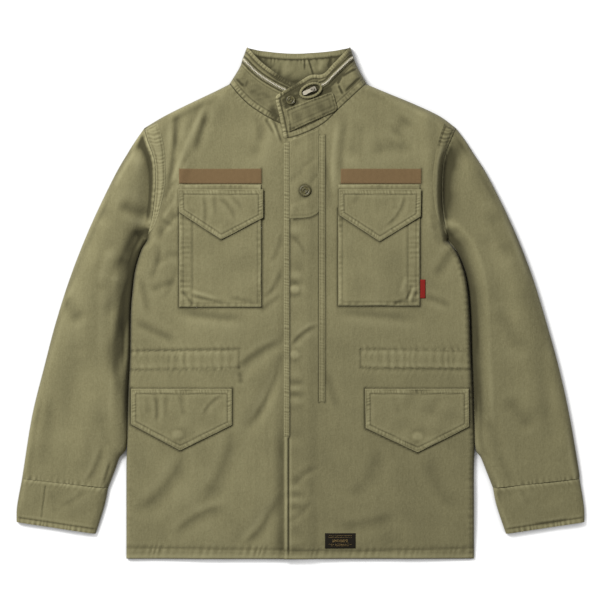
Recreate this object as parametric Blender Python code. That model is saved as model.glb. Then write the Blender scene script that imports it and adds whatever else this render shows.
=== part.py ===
"""Field jacket in heavy cotton sateen, laid out flat on its back with its front up.

+X runs to the wearer's left, +Y from the hem to the collar, +Z up from the surface it lies on.
Every table is in millimetres: "across" from the middle of the back, "up" from the hem, and z
above the surface. Each cloth piece is a wall of one thickness. Its outer side follows one height
rule for the whole jacket, so that pieces sewn together meet, and what is sewn on a panel stands
on that panel's own points. Names say the wearer's right and left.
"""

import math

import bpy
import numpy as np
from mathutils import Vector
from mathutils.bvhtree import BVHTree

# Driving dimensions, in millimetres
LENGTH = 819.0  # hem to the top of the collar, laid out
CLOTH = 2.0  # a panel of outer cloth with its backing
TAPE = 0.9  # woven tape and labels
GAP = 0.3  # between two pieces sewn together
SEAM_HEIGHT = 4.4  # where the front meets the back along a laid edge
UNDER_ROLL = 7.0  # how far in from an edge the back curls up to that seam
EDGE_ROLL = 14.0  # how far in the front of the body rolls down to it
SLEEVE_ROLL = 34.0  # the same on the outer fold of a sleeve
INNER_SLEEVE_ROLL = 24.0  # and along its inner edge
INNER_BODY_ROLL = 9.0  # the body's side where it lies against the sleeve
FLY_EDGE = -27.0  # front edge of the left front
FLY_LIFT = 2.9  # the left front above the right one, where it laps over
UNDERLAP_END = 4.0  # hidden front edge of the right front
LAP_FADE = (10.0, 30.0)  # where the lapped front comes down again

# Fold of the shoulder, the collar's side and the sleeve's outer edge, collar first
OUTER_EDGE = (
    # up, across on the right, across on the left
    (819, -86, 80),
    (800, -93, 86),
    (786, -98, 92),
    (760, -114, 106),
)
SHOULDER = (
    (760, -114, 106),
    (747, -140, 137),
    (728, -180, 183),
    (709, -218, 223),
    (690, -250, 249),
)
SLEEVE_OUTER = (
    (690, -250, 249),
    (670, -264, 264),
    (651, -276, 276),
    (613, -298, 300),
    (536, -335, 338),
    (459, -366, 369),
    (382, -391, 393),
    (306, -411, 414),
    (229, -430, 431),
    (142, -444, 446),
    (129, -446, 447),
)
ARMHOLE = (
    (690, -250, 249),
    (664, -242, 237),
    (638, -233, 229),
    (606, -231, 226),
    (575, -233, 226),
    (545, -237, 229),
    (510, -246, 236),
)
# The body's side from the underarm down, against which the sleeve lies as far as CROTCH_UP
CROTCH_UP = 182
SIDE = (
    (510, -246, 236),
    (492, -256, 250),
    (462, -265, 262),
    (432, -269, 268),
    (394, -272, 271),
    (334, -273, 273),
    (254, -276, 277),
    (182, -278, 279),
    (142, -279, 278),
    (0, -279, 278),
)
SLEEVE_INNER = (
    (182, -278, 279),
    (162, -290, 289),
    (142, -297, 297),
    (114, -308, 308),
)
CUFF_OUTER = ((129, -446, 447), (85, -454, 454), (59, -455, 455))
CUFF_INNER = ((114, -308, 308), (85, -314, 314), (40, -328, 329))

# Highest line of the laid garment above the surface
BODY_CROWN = (
    # up, z
    (0, 10.0),
    (25, 13.5),
    (150, 18.0),
    (300, 22.0),
    (450, 26.0),
    (600, 28.0),
    (690, 28.0),
    (750, 30.0),
    (819, 30.0),
)
BODY_FALL = 3.0  # the body is this much lower at its sides than in the middle
SLEEVE_CROWN = (
    # distance down the sleeve from the shoulder, z
    (0, 26.0),
    (150, 29.0),
    (300, 26.0),
    (450, 20.0),
    (570, 14.0),
    (650, 9.5),
)
SLEEVE_AXIS = (-0.33, -0.944)  # down the right sleeve
# The trough at the armhole seam
ARMHOLE_TROUGH = (
    # up, depth
    (510, 10.0),
    (560, 10.0),
    (620, 8.0),
    (664, 4.0),
    (690, 0.0),
)
TROUGH_BODY, TROUGH_SLEEVE = 7.0, 30.0  # how far it reaches to each side

# Largest folds: a ridge is positive, a trough negative
FOLDS = (
    # across, up at one end, across, up at the other, rise, half width
    (-205, 700, -214, 560, -4.0, 15.0),
    (-190, 690, -196, 590, 2.5, 14.0),
    (200, 705, 212, 540, 3.5, 12.0),
    (-30, 315, -78, 214, -3.0, 12.0),
    (-27, 350, -97, 294, -2.0, 11.0),
    (-27, 95, -97, 30, -2.0, 12.0),
    (120, 150, 150, 30, -2.0, 16.0),
    (-262, 480, -296, 400, -5.0, 13.0),
    (-330, 470, -345, 330, 3.0, 18.0),
    (-352, 330, -372, 210, -3.0, 16.0),
    (-330, 250, -352, 160, 2.5, 14.0),
    (300, 500, 330, 400, -3.5, 16.0),
    (345, 420, 372, 250, 3.0, 20.0),
    (390, 330, 404, 200, -2.5, 15.0),
)

NEAR, FAR, LOW, HIGH = range(4)  # edges of a panel's grid

# Colours as linear red, green, blue
OLIVE = (0.235, 0.216, 0.115)
OLIVE_INSIDE = (0.205, 0.190, 0.105)
BROWN = (0.212, 0.138, 0.067)
RED = (0.246, 0.022, 0.017)
BLACK = (0.012, 0.011, 0.008)
STEEL = (0.62, 0.59, 0.50)
PAINTED_SNAP = (0.095, 0.085, 0.045)

SIDES = (("right", 1, -1), ("left", 2, 1))  # name, column of the tables, sign of X


def column(table, side, flip=False):
    """The (across, up) points of a table for one side, from its last row to its first if flip."""
    points = [(row[side], row[0]) for row in table]
    return points[::-1] if flip else points


class Path:
    """A smooth line through (across, up) points, read by its share of the whole length."""

    def __init__(self, points, smooth=True):
        points = np.array(points, float)
        if smooth and len(points) > 2:
            points = self.rounded(points)
        self.set(points)

    def set(self, points):
        self.points = points
        steps = np.linalg.norm(np.diff(points, axis=0), axis=1)
        self.lengths = np.concatenate([[0], np.cumsum(steps)])
        self.length = self.lengths[-1]

    @staticmethod
    def rounded(points, parts=8):
        """Catmull-Rom through the points."""
        ends = np.vstack([2 * points[0] - points[1], points, 2 * points[-1] - points[-2]])
        t = np.linspace(0, 1, parts, endpoint=False)[:, None]
        found = []
        for a, b, c, d in zip(ends, ends[1:], ends[2:], ends[3:]):
            bend = 2 * a - 5 * b + 4 * c - d
            twist = 3 * b - 3 * c + d - a
            found.append(b + 0.5 * ((c - a) * t + bend * t**2 + twist * t**3))
        return np.vstack([*found, points[-1:]])

    def at(self, share):
        s = np.asarray(share, float) * self.length
        return np.stack([np.interp(s, self.lengths, self.points[:, k]) for k in (0, 1)], axis=-1)

    def then(self, other):
        joined = Path([(0, 0), (1, 1)])
        joined.set(np.vstack([self.points, other.points[1:]]))
        return joined

    def flipped(self):
        turned = Path([(0, 0), (1, 1)])
        turned.set(self.points[::-1])
        return turned


def straight(*points):
    return Path(points, smooth=False)


def patch(bottom, top, near, far):
    """A map from (u, v) to (across, up) that fits its four edges: near is at u = 0, far at u = 1."""

    def place(u, v):
        u, v = np.broadcast_arrays(np.asarray(u, float), np.asarray(v, float))
        rows = (1 - v)[..., None] * bottom.at(u) + v[..., None] * top.at(u)
        columns = (1 - u)[..., None] * near.at(v) + u[..., None] * far.at(v)
        low = (1 - u)[..., None] * bottom.at(0) + u[..., None] * bottom.at(1)
        high = (1 - u)[..., None] * top.at(0) + u[..., None] * top.at(1)
        return rows + columns - (1 - v)[..., None] * low - v[..., None] * high

    return place


def grid(place, across, along):
    return place(np.asarray(across)[:, None], np.asarray(along)[None, :])


def distance(points, path):
    """How far each point is from a path."""
    a, b = path.points[:-1], path.points[1:]
    run = b - a
    offset = points[..., None, :] - a
    share = np.clip((offset * run).sum(-1) / np.maximum((run**2).sum(-1), 1e-9), 0, 1)
    return np.linalg.norm(offset - share[..., None] * run, axis=-1).min(-1)


def table(rows, x):
    rows = sorted(rows)
    return np.interp(x, [row[0] for row in rows], [row[1] for row in rows])


def quarter_round(share):
    """0 at an edge, 1 from share 1 inwards, with the edge upright."""
    return np.sqrt(np.clip(1 - np.clip(1 - share, 0, 1) ** 2, 0, 1))


def eased(share):
    share = np.clip(share, 0, 1)
    return share * share * (3 - 2 * share)


# Seam lines of both sides
FOLD, SHOULDERS, OUTER, ARMHOLES, SIDES_DOWN = {}, {}, {}, {}, {}
CUFFS_OUTER, CUFFS_INNER, SLEEVES_INNER, BODY_FREE, SLEEVE_FREE = {}, {}, {}, {}, {}
for side, col, sign in SIDES:
    SHOULDERS[side] = Path(column(SHOULDER, col))
    OUTER[side] = Path(column(SLEEVE_OUTER, col))
    ARMHOLES[side] = Path(column(ARMHOLE, col))
    SIDES_DOWN[side] = Path(column(SIDE, col))
    CUFFS_OUTER[side] = Path(column(CUFF_OUTER, col))
    CUFFS_INNER[side] = Path(column(CUFF_INNER, col))
    laid_together = [p for p in column(SIDE, col) if p[1] >= CROTCH_UP]
    SLEEVES_INNER[side] = Path(laid_together + column(SLEEVE_INNER, col)[1:])
    FOLD[side] = (
        Path(column(OUTER_EDGE, col))
        .then(SHOULDERS[side])
        .then(OUTER[side])
        .then(CUFFS_OUTER[side])
    )
    BODY_FREE[side] = SIDES_DOWN[side]
    SLEEVE_FREE[side] = SLEEVES_INNER[side].then(CUFFS_INNER[side])


def fold_rise(points):
    """What the largest folds add to the height."""
    total = np.zeros(points.shape[:-1])
    for x0, up0, x1, up1, rise, half_width in FOLDS:
        spread = distance(points, straight((x0, up0), (x1, up1))) / half_width
        total += rise * np.exp(-(spread**2))
    return total


def rolled_height(crown, edges):
    """The crown, brought down to the seam round each (distance, roll) edge."""
    rise = crown - SEAM_HEIGHT
    share = np.ones_like(crown)
    for away, roll in edges:
        share = share * quarter_round(away / np.minimum(roll, 1.6 * rise))
    return SEAM_HEIGHT + rise * share


def front_height(points, sleeve=False):
    """z of the upper side of the laid garment at (across, up) points, on the sleeves or the body."""
    heights = np.empty(points.shape[:-1])
    for side, col, sign in SIDES:
        here = points[..., 0] * sign >= 0
        if not here.any():
            continue
        spot = points[here]
        fold = distance(spot, FOLD[side])
        seam = distance(spot, ARMHOLES[side])
        folds = fold_rise(spot)
        crown = table(BODY_CROWN, spot[:, 1]) - BODY_FALL * (spot[:, 0] / 280) ** 2 + folds
        body = rolled_height(
            crown, [(fold, EDGE_ROLL), (distance(spot, BODY_FREE[side]), INNER_BODY_ROLL)]
        )
        tip = ARMHOLES[side].points[0]
        down = (spot - tip) @ np.array([-sign * SLEEVE_AXIS[0], SLEEVE_AXIS[1]])
        crown = table(SLEEVE_CROWN, down) + folds
        inner = distance(spot, SLEEVE_FREE[side])
        arm = rolled_height(crown, [(fold, SLEEVE_ROLL), (inner, INNER_SLEEVE_ROLL)])
        if sleeve:
            part = 1 - 0.5 * np.exp(-seam / 25)
            reach = TROUGH_SLEEVE
        else:
            part = 0.5 * np.exp(-seam / 15)
            reach = TROUGH_BODY
        height = part * arm + (1 - part) * body
        room = np.clip((height - SEAM_HEIGHT) / 20, 0, 1)
        trough = table(ARMHOLE_TROUGH, spot[:, 1]) * room * np.exp(-((seam / reach) ** 2))
        heights[here] = height - trough
    return heights


def back_height(points, sleeve=False):
    """z of the underside: flat on the surface and curled up to the seam at a free edge."""
    heights = np.empty(points.shape[:-1])
    for side, col, sign in SIDES:
        here = points[..., 0] * sign >= 0
        if not here.any():
            continue
        spot = points[here]
        free = SLEEVE_FREE[side] if sleeve else BODY_FREE[side]
        away = np.minimum(distance(spot, FOLD[side]), distance(spot, free))
        curl = 1 - quarter_round(away / UNDER_ROLL)
        heights[here] = (SEAM_HEIGHT - GAP) * curl
    return heights


def lap_lift(points):
    """How far the left front stands above the right one."""
    start, end = LAP_FADE
    return FLY_LIFT * (1 - eased((points[..., 0] - start) / (end - start)))


bpy_materials = {}


def material(name, colour, roughness, metallic=0.0):
    if name not in bpy_materials:
        made = bpy.data.materials.new(name)
        made.use_nodes = True
        shader = made.node_tree.nodes["Principled BSDF"]
        shader.inputs["Base Color"].default_value = (*colour, 1)
        shader.inputs["Roughness"].default_value = roughness
        shader.inputs["Metallic"].default_value = metallic
        made.diffuse_color = (*colour, 1)
        bpy_materials[name] = made
    return bpy_materials[name]


def world(points):
    """Garment millimetres to metres about the middle of the footprint."""
    return (np.asarray(points, float) - (0, LENGTH / 2, 0)) / 1000


def metres(points):
    """Millimetres about a piece's own origin to metres."""
    return np.asarray(points, float) / 1000


def make_object(name, points, faces, colour, roughness=0.9, metallic=0.0, place=world):
    mesh = bpy.data.meshes.new(name)
    mesh.from_pydata([tuple(p) for p in place(points)], [], faces)
    mesh.materials.append(material(name, colour, roughness, metallic))
    mesh.shade_smooth()
    mesh.set_sharp_from_angle(angle=math.radians(40))
    made = bpy.data.objects.new(name, mesh)
    bpy.context.scene.collection.objects.link(made)
    return made


def closed_faces(n, m, flip):
    """Faces of a box-like body whose outer side is an n by m grid and whose inner side follows it."""

    def outer(i, j):
        return i * m + j

    def inner(i, j):
        return n * m + i * m + j

    faces = []
    for i in range(n - 1):
        for j in range(m - 1):
            faces.append((outer(i, j), outer(i + 1, j), outer(i + 1, j + 1), outer(i, j + 1)))
            faces.append((inner(i, j), inner(i, j + 1), inner(i + 1, j + 1), inner(i + 1, j)))
    for i in range(n - 1):
        faces.append((outer(i, 0), inner(i, 0), inner(i + 1, 0), outer(i + 1, 0)))
        faces.append((outer(i + 1, m - 1), inner(i + 1, m - 1), inner(i, m - 1), outer(i, m - 1)))
    for j in range(m - 1):
        faces.append((outer(0, j + 1), inner(0, j + 1), inner(0, j), outer(0, j)))
        faces.append((outer(n - 1, j), inner(n - 1, j), inner(n - 1, j + 1), outer(n - 1, j + 1)))
    return [face[::-1] for face in faces] if flip else faces


def unit(vectors):
    return vectors / np.maximum(np.linalg.norm(vectors, axis=-1, keepdims=True), 1e-9)


def wall(name, flat, height, colour, sewn=None, laid=None, thick=CLOTH, under=False, inset=None):
    """A cloth panel: its outer side is the (across, up) grid at the given heights.

    sewn and laid map an edge of the grid (NEAR, FAR, LOW, HIGH) to the grid lines that meet it
    there. Along a sewn edge the wall's rim stands upright, so that it is parallel to its
    neighbour's. Along a laid edge the rim is level, so that the front stands on the back.
    It returns the object with the grid of its outer points and the normals there.
    """
    outer = np.concatenate([flat, height[..., None]], axis=-1)
    steps = [np.gradient(outer, axis=k) for k in (0, 1)]
    normal = unit(np.cross(steps[0], steps[1]))
    turned = normal[..., 2].sum() < 0
    if turned != under:
        normal = -normal
    n, m = height.shape
    whole = slice(None)
    lines = {NEAR: (0, whole), FAR: (n - 1, whole), LOW: (whole, 0), HIGH: (whole, m - 1)}
    inward = {NEAR: steps[0][0], FAR: -steps[0][-1], LOW: steps[1][:, 0], HIGH: -steps[1][:, -1]}
    for edge, line in lines.items():
        along = np.gradient(outer[line][:, :2], axis=0)
        sideways = unit(np.stack([-along[:, 1], along[:, 0]], axis=-1))
        sideways *= np.where((sideways * inward[edge][:, :2]).sum(-1, keepdims=True) < 0, -1, 1)
        rows = (sewn or {}).get(edge, slice(0))
        upright = normal[line].copy()
        upright[:, :2] -= (upright[:, :2] * sideways).sum(-1, keepdims=True) * sideways
        rim = normal[line]
        rim[rows] = unit(upright)[rows]
        normal[line] = rim
        shifted = outer[line]
        shifted[:, :2] += sideways * (inset or {}).get(edge, GAP / 2)
        outer[line] = shifted
    for edge, rows in (laid or {}).items():
        level = -unit(inward[edge][:, :2])
        rim = normal[lines[edge]]
        rim[rows] = np.concatenate([level, np.zeros((len(level), 1))], axis=-1)[rows]
        normal[lines[edge]] = rim
    inner = outer - normal * thick
    points = np.concatenate([outer.reshape(-1, 3), inner.reshape(-1, 3)])
    made = make_object(name, points, closed_faces(n, m, turned != under), colour)
    return made, outer, normal


def mirrored(flat):
    """Whether a grid of (across, up) points runs clockwise."""
    steps = [np.gradient(flat, axis=k) for k in (0, 1)]
    return (steps[0][..., 0] * steps[1][..., 1] - steps[0][..., 1] * steps[1][..., 0]).sum() < 0


def laid_along(name, outer, normal, thick, colour):
    """A strip made from some of a panel's own points, moved out."""
    n, m = outer.shape[:2]
    points = [outer + normal * (GAP + thick), outer + normal * GAP]
    points = np.concatenate([side.reshape(-1, 3) for side in points])
    return make_object(name, points, closed_faces(n, m, mirrored(outer[..., :2])), colour)


def carrier(*objects):
    """A ray caster on the objects' upper sides: (across, up) points to z, in millimetres."""
    trees = []
    for carried in objects:
        mesh = carried.data
        corners = [v.co for v in mesh.vertices]
        trees.append(BVHTree.FromPolygons(corners, [p.vertices[:] for p in mesh.polygons]))

    def height(points):
        flat = world(np.concatenate([points, np.zeros((*points.shape[:-1], 1))], axis=-1))
        found = np.full(points.shape[:-1], np.nan)
        for index in np.ndindex(found.shape):
            above = Vector((flat[index][0], flat[index][1], 1.0))
            hits = [tree.ray_cast(above, Vector((0, 0, -1)))[0] for tree in trees]
            heights = [hit.z * 1000 for hit in hits if hit is not None]
            if heights:
                found[index] = max(heights)
        known = ~np.isnan(found)
        if known.all():
            return found
        missing = np.argwhere(~known)
        present = np.argwhere(known)
        for index in missing:
            nearest = present[((present - index) ** 2).sum(-1).argmin()]
            found[tuple(index)] = found[tuple(nearest)]
        return found

    return height


def within(values, s, t):
    """A grid's values at shares s and t of the way across each of its cells."""
    near = (1 - t) * values[:-1, :-1] + t * values[:-1, 1:]
    far = (1 - t) * values[1:, :-1] + t * values[1:, 1:]
    return (1 - s) * near + s * far


def resting(height, flat, samples=5):
    """Heights at a grid's points which keep each of its cells above the surface under it."""
    base = height(flat)
    twist = np.abs(base[:-1, :-1] + base[1:, 1:] - base[:-1, 1:] - base[1:, :-1]) / 4
    excess = np.zeros_like(twist)
    for s in np.linspace(0, 1, samples):
        for t in np.linspace(0, 1, samples):
            found = height(within(flat, s, t)) - within(base, s, t) + twist
            excess = np.maximum(excess, found)
    lifted = base.copy()
    n, m = excess.shape
    for i in (0, 1):
        for j in (0, 1):
            corner = (slice(i, i + n), slice(j, j + m))
            lifted[corner] = np.maximum(lifted[corner], base[corner] + excess)
    return lifted


def laid_on(name, flat, height, thick, colour, lift=0.0, edge=0.0):
    """A piece lying on a surface, with its outer points brought down by edge round its rim."""
    bottom = resting(height, flat) + GAP + lift
    n, m = bottom.shape
    rim = np.ones((n, m), bool)
    rim[1:-1, 1:-1] = False
    top = bottom + thick - np.where(rim, edge, 0)
    points = [np.concatenate([flat, z[..., None]], axis=-1).reshape(-1, 3) for z in (top, bottom)]
    faces = closed_faces(n, m, mirrored(flat))
    return make_object(name, np.concatenate(points), faces, colour)


for old in list(bpy.data.objects):
    bpy.data.objects.remove(old, do_unlink=True)

# How each seam is divided. Pieces that share a seam share its division.
ARM_PARTS = np.array([0, 0.012, 0.04, 0.08, 0.14, 0.22, 0.33, 0.46, 0.6, 0.73, 0.85, 0.94, 1.0])
SIDE_PARTS = np.array([0, 0.03, 0.09, 0.17, 0.25, 0.34, 0.43, 0.52, 0.61, 0.7, 0.79, 0.87, 0.94])
NECK_PARTS = np.array([0, 0.1, 0.22, 0.36, 0.5, 0.63, 0.75, 0.86, 0.94, 0.985, 1.0])
SHOULDER_PARTS = np.array([0.12, 0.3, 0.5, 0.68, 0.8, 0.88, 0.92, 0.955, 0.98, 0.993, 1.0])
BACK_NECK_PARTS = np.array([0, 0.012, 0.03, 0.06, 0.2, 0.35, 0.5, 0.65, 0.8, 0.94, 0.97, 0.988, 1.0])
CUFF_PARTS = np.array([0, 0.3, 0.65, 1.0])

# Neck seams, from the centre front to the shoulder
NECK = {
    "right": Path([(UNDERLAP_END, 684), (-24, 692), (-47, 702), (-79, 722), (-100, 742), (-114, 760)]),
    "left": Path([(FLY_EDGE, 671), (-12, 673), (15, 683), (39, 697), (62, 719), (106, 760)]),
}
FRONT_EDGE = {
    "right": straight((UNDERLAP_END, 0), (UNDERLAP_END, 684)),
    "left": straight((FLY_EDGE, 0), (FLY_EDGE, 671)),
}
COLLAR_TOP = {
    "right": Path([(UNDERLAP_END, 752), (-6, 757), (-38, 775), (-63, 794), (-86, 819)]),
    "left": Path([(-38, 740), (-6, 759), (16, 772), (36, 774), (52, 790), (80, 819)]),
}
COLLAR_END = {
    "right": straight((UNDERLAP_END, 684), (UNDERLAP_END, 752)),
    "left": Path([(FLY_EDGE, 671), (-34, 706), (-40, 731), (-38, 740)]),
}
BACK_NECK = Path([(-114, 760), (-60, 752), (-4, 749), (52, 752), (106, 760)])
COLLAR_BACK_TOP = Path([(-86, 819), (-60, 813), (-8, 809), (50, 813), (80, 819)])
EVERY = slice(None)

panels = {}  # each front's object, outer points and normals
body_sides = {}  # each side seam and armhole in one line, from the hem up
for side, col, sign in SIDES:
    # The front, across from the fly and up from the hem
    hem = straight((FRONT_EDGE[side].points[0][0], 0), (SIDES_DOWN[side].points[-1][0], 0))
    top = NECK[side].then(SHOULDERS[side])
    body_sides[side] = SIDES_DOWN[side].flipped().then(ARMHOLES[side].flipped())
    side_share = SIDES_DOWN[side].length / body_sides[side].length
    neck_share = NECK[side].length / top.length
    armhole_along = side_share + (1 - side_share) * (1 - ARM_PARTS[::-1])
    along = np.concatenate([SIDE_PARTS * side_share, armhole_along])
    across = np.concatenate(
        [NECK_PARTS * neck_share, neck_share + (1 - neck_share) * SHOULDER_PARTS]
    )
    flat = grid(patch(hem, top, FRONT_EDGE[side], body_sides[side]), across, along)
    height = front_height(flat)
    if side == "left":
        height = height + lap_lift(flat)
    underarm, shoulder = len(SIDE_PARTS), len(NECK_PARTS) - 1
    front = wall(
        "front_" + side,
        flat,
        height,
        OLIVE,
        sewn={FAR: slice(underarm + 1, None), HIGH: slice(0, shoulder)},
        laid={FAR: slice(0, underarm + 1), HIGH: slice(shoulder, None)},
    )
    panels[side] = front

    # The felled seam on the body side of the armhole, over the front's last five grid lines
    _, outer, normal = front
    band = (slice(-6, None), slice(underarm + 1, -2))
    laid_along("armhole_band_" + side, outer[band], normal[band], 1.0, OLIVE)

    # The sleeve's upper and under cloth, across from the outer fold and down from the armhole
    cuff_seam = straight(CUFFS_OUTER[side].points[0], CUFFS_INNER[side].points[0])
    place = patch(ARMHOLES[side], cuff_seam, OUTER[side], SLEEVES_INNER[side])
    down = np.array([0, 0.02, 0.06, 0.12, 0.19, 0.27, 0.35, 0.44, 0.53, 0.62, 0.71, 0.8, 0.9, 1.0])
    both_ends = {LOW: EVERY, HIGH: EVERY}
    both_edges = {NEAR: EVERY, FAR: EVERY}
    clear = {FAR: 0.9}
    flat = grid(place, ARM_PARTS, down)
    height = front_height(flat, sleeve=True)
    wall("sleeve_top_" + side, flat, height, OLIVE, both_ends, both_edges, inset=clear)
    flat = grid(place, ARM_PARTS, down[[0, 1, 2, 4, 6, 8, 10, 12, 13]])
    height = back_height(flat, sleeve=True)
    wall("sleeve_under_" + side, flat, height, OLIVE, both_ends, both_edges, under=True, inset=clear)

    # The cuff, a deep turned hem
    end = straight(CUFFS_OUTER[side].points[-1], CUFFS_INNER[side].points[-1])
    place = patch(cuff_seam, end, CUFFS_OUTER[side], CUFFS_INNER[side])
    flat = grid(place, ARM_PARTS, CUFF_PARTS)
    seam = {LOW: EVERY}
    wall("cuff_top_" + side, flat, front_height(flat, True), OLIVE, seam, both_edges)
    height = back_height(flat, True)
    wall("cuff_under_" + side, flat, height, OLIVE, seam, both_edges, under=True)

# The back, across from the right side seam and up from the hem
top = SHOULDERS["right"].flipped().then(BACK_NECK).then(SHOULDERS["left"])
side_share = SIDES_DOWN["right"].length / body_sides["right"].length
armhole_along = side_share + (1 - side_share) * (1 - ARM_PARTS[::-1])
along = np.concatenate([SIDE_PARTS[::2] * side_share, armhole_along])
edge_parts = np.array([0, 0.003, 0.0075, 0.0125, 0.05, 0.12])
neck_start = SHOULDERS["right"].length / top.length
neck_end = 1 - SHOULDERS["left"].length / top.length
neck_columns = neck_start + (neck_end - neck_start) * BACK_NECK_PARTS
across = np.concatenate([edge_parts, neck_columns, 1 - edge_parts[::-1]])
hem = straight((SIDES_DOWN["right"].points[-1][0], 0), (SIDES_DOWN["left"].points[-1][0], 0))
flat = grid(patch(hem, top, body_sides["right"], body_sides["left"]), across, along)
underarm = len(SIDE_PARTS[::2])
armhole_rows, side_rows = slice(underarm + 1, None), slice(0, underarm + 1)
neck = slice(len(edge_parts) + 1, len(edge_parts) + len(neck_columns) - 1)
for_shoulders = np.r_[0 : neck.start, neck.stop : len(across)]
wall(
    "back",
    flat,
    back_height(flat),
    OLIVE_INSIDE,
    sewn={NEAR: armhole_rows, FAR: armhole_rows, HIGH: neck},
    laid={NEAR: side_rows, FAR: side_rows, HIGH: for_shoulders},
    under=True,
)

# The stand collar: a back wall that lies on the surface, and on each side of the throat a panel,
# a zip and a band above it, the left ones lapping over the right ones
ZIP_HALF = 0.05  # half the zip's width as a share of the collar's height
ZIP_LINE = {"right": (0.78, 0.69), "left": (0.76, 0.74)}  # share at the throat, at the side
ZIP_START = {"right": 0.22, "left": 0.5}  # share of the way round where the zip begins
ZIP_STEP = 0.03
CHAIN_RISE = 1.4  # the row of teeth above the tapes
CHAIN_FADE = 0.2  # share of the way round in which it comes up from the zip's end
PANEL_ROWS, BAND_ROWS, ZIP_ROWS = (0, 0.25, 0.55, 0.85, 1), (0, 0.4, 1), (0, 0.25, 0.5, 0.75, 1)

collar_sides = {side: Path(column(OUTER_EDGE, col, flip=True)) for side, col, sign in SIDES}
throat_pieces = [panels["left"][0]]
for side, col, sign in SIDES:
    place = patch(NECK[side], COLLAR_TOP[side], COLLAR_END[side], collar_sides[side])

    def zip_middle(u):
        at_throat, at_side = ZIP_LINE[side]
        return at_throat + (at_side - at_throat) * u

    def collar_wall(name, u, low, high, rows, sewn, rise=0.0, colour=OLIVE):
        """One level of the collar, between two shares of its height at each share of the way round."""
        rows = np.array(rows)
        flat = place(u[:, None], low[:, None] + (high - low)[:, None] * rows)
        height = front_height(flat)
        height += rise * np.sin(np.pi * rows) ** 3 * eased((u - u[0]) / CHAIN_FADE)[:, None]
        if side == "left":
            height += lap_lift(flat)
        seams = {edge: EVERY for edge in sewn}
        return wall(name + "_" + side, flat, height, colour, seams, {FAR: EVERY})[0]

    start = ZIP_START[side]
    u = np.unique(np.concatenate([NECK_PARTS, [start, start + ZIP_STEP]]))
    panel = collar_wall("collar_panel", u, 0 * u, zip_middle(u) - ZIP_HALF, PANEL_ROWS, (LOW, HIGH))
    low = zip_middle(u) + np.where(u <= start, -ZIP_HALF, ZIP_HALF)
    band = collar_wall("collar_band", u, low, 1 + 0 * u, BAND_ROWS, (LOW,))
    u = u[u >= start + ZIP_STEP]
    low, high = zip_middle(u) - ZIP_HALF, zip_middle(u) + ZIP_HALF
    chain = collar_wall("collar_zip", u, low, high, ZIP_ROWS, (LOW, HIGH), CHAIN_RISE, STEEL)
    if side == "left":
        throat_pieces += [panel, band, chain]

place = patch(BACK_NECK, COLLAR_BACK_TOP, collar_sides["right"], collar_sides["left"])
flat = grid(place, BACK_NECK_PARTS, [0, 0.3, 0.65, 1])
both_edges = {NEAR: EVERY, FAR: EVERY}
wall("collar_back", flat, back_height(flat), OLIVE_INSIDE, {LOW: EVERY}, both_edges, under=True)

# What is sewn on the fronts. Heights are read from the panel below, so each piece follows it.
BAG, FLAP = 3.4, 2.4  # a bellows pocket pressed flat, and a two-ply flap
CLEAR = 0.6  # between a flap and the pocket that it closes
POCKETS = {
    # across at the two sides, up at the bottom and at the top
    "chest_pocket_right": (-193, -62, 403, 598),
    "chest_pocket_left": (60, 190, 405, 598),
}
TAPES = {
    "name_tape_right": (-193, -62, 599.5, 623),
    "name_tape_left": (64, 192, 599.5, 623),
}
FLAPS = {
    # both ends of the top edge, then the far corner, the tip, the near corner, and what lies under it
    "chest_flap_right": ((-194, 590), (-59, 590), (-59, 545), (-126, 510), (-193, 554), BAG + CLEAR),
    "chest_flap_left": ((61, 590), (192, 590), (191, 547), (126, 507), (62, 549), BAG + CLEAR),
    "lower_flap_right": ((-270, 273), (-109, 273), (-109, 215), (-192, 174), (-270, 216), 0),
    "lower_flap_left": ((103, 273), (269, 273), (269, 212), (187, 171), (104, 210), 0),
}


def edge_rows(n, rim=0.04):
    """Even divisions with one more close to each end."""
    return np.concatenate([[0, rim], np.linspace(0, 1, n)[1:-1], [1 - rim, 1]])


def rectangle(x0, x1, up0, up1, across, along):
    low, high = straight((x0, up0), (x1, up0)), straight((x0, up1), (x1, up1))
    near, far = straight((x0, up0), (x0, up1)), straight((x1, up0), (x1, up1))
    return grid(patch(low, high, near, far), across, along)


on_front = {side: carrier(panels[side][0]) for side in panels}
for name, sides in POCKETS.items():
    flat = rectangle(*sides, edge_rows(7), edge_rows(9))
    laid_on(name, flat, on_front[name.split("_")[-1]], BAG, OLIVE, edge=1.6)
for name, sides in TAPES.items():
    flat = rectangle(*sides, np.linspace(0, 1, 8), np.linspace(0, 1, 3))
    laid_on(name, flat, on_front[name.split("_")[-1]], TAPE, BROWN)
for name, (top0, top1, low1, tip, low0, lift) in FLAPS.items():
    low, high = straight(low0, tip, low1), straight(top0, top1)
    place = patch(low, high, straight(low0, top0), straight(low1, top1))
    flat = grid(place, edge_rows(8), edge_rows(5, 0.08))
    laid_on(name, flat, on_front[name.split("_")[-1]], FLAP, OLIVE, lift, edge=0.9)

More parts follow.
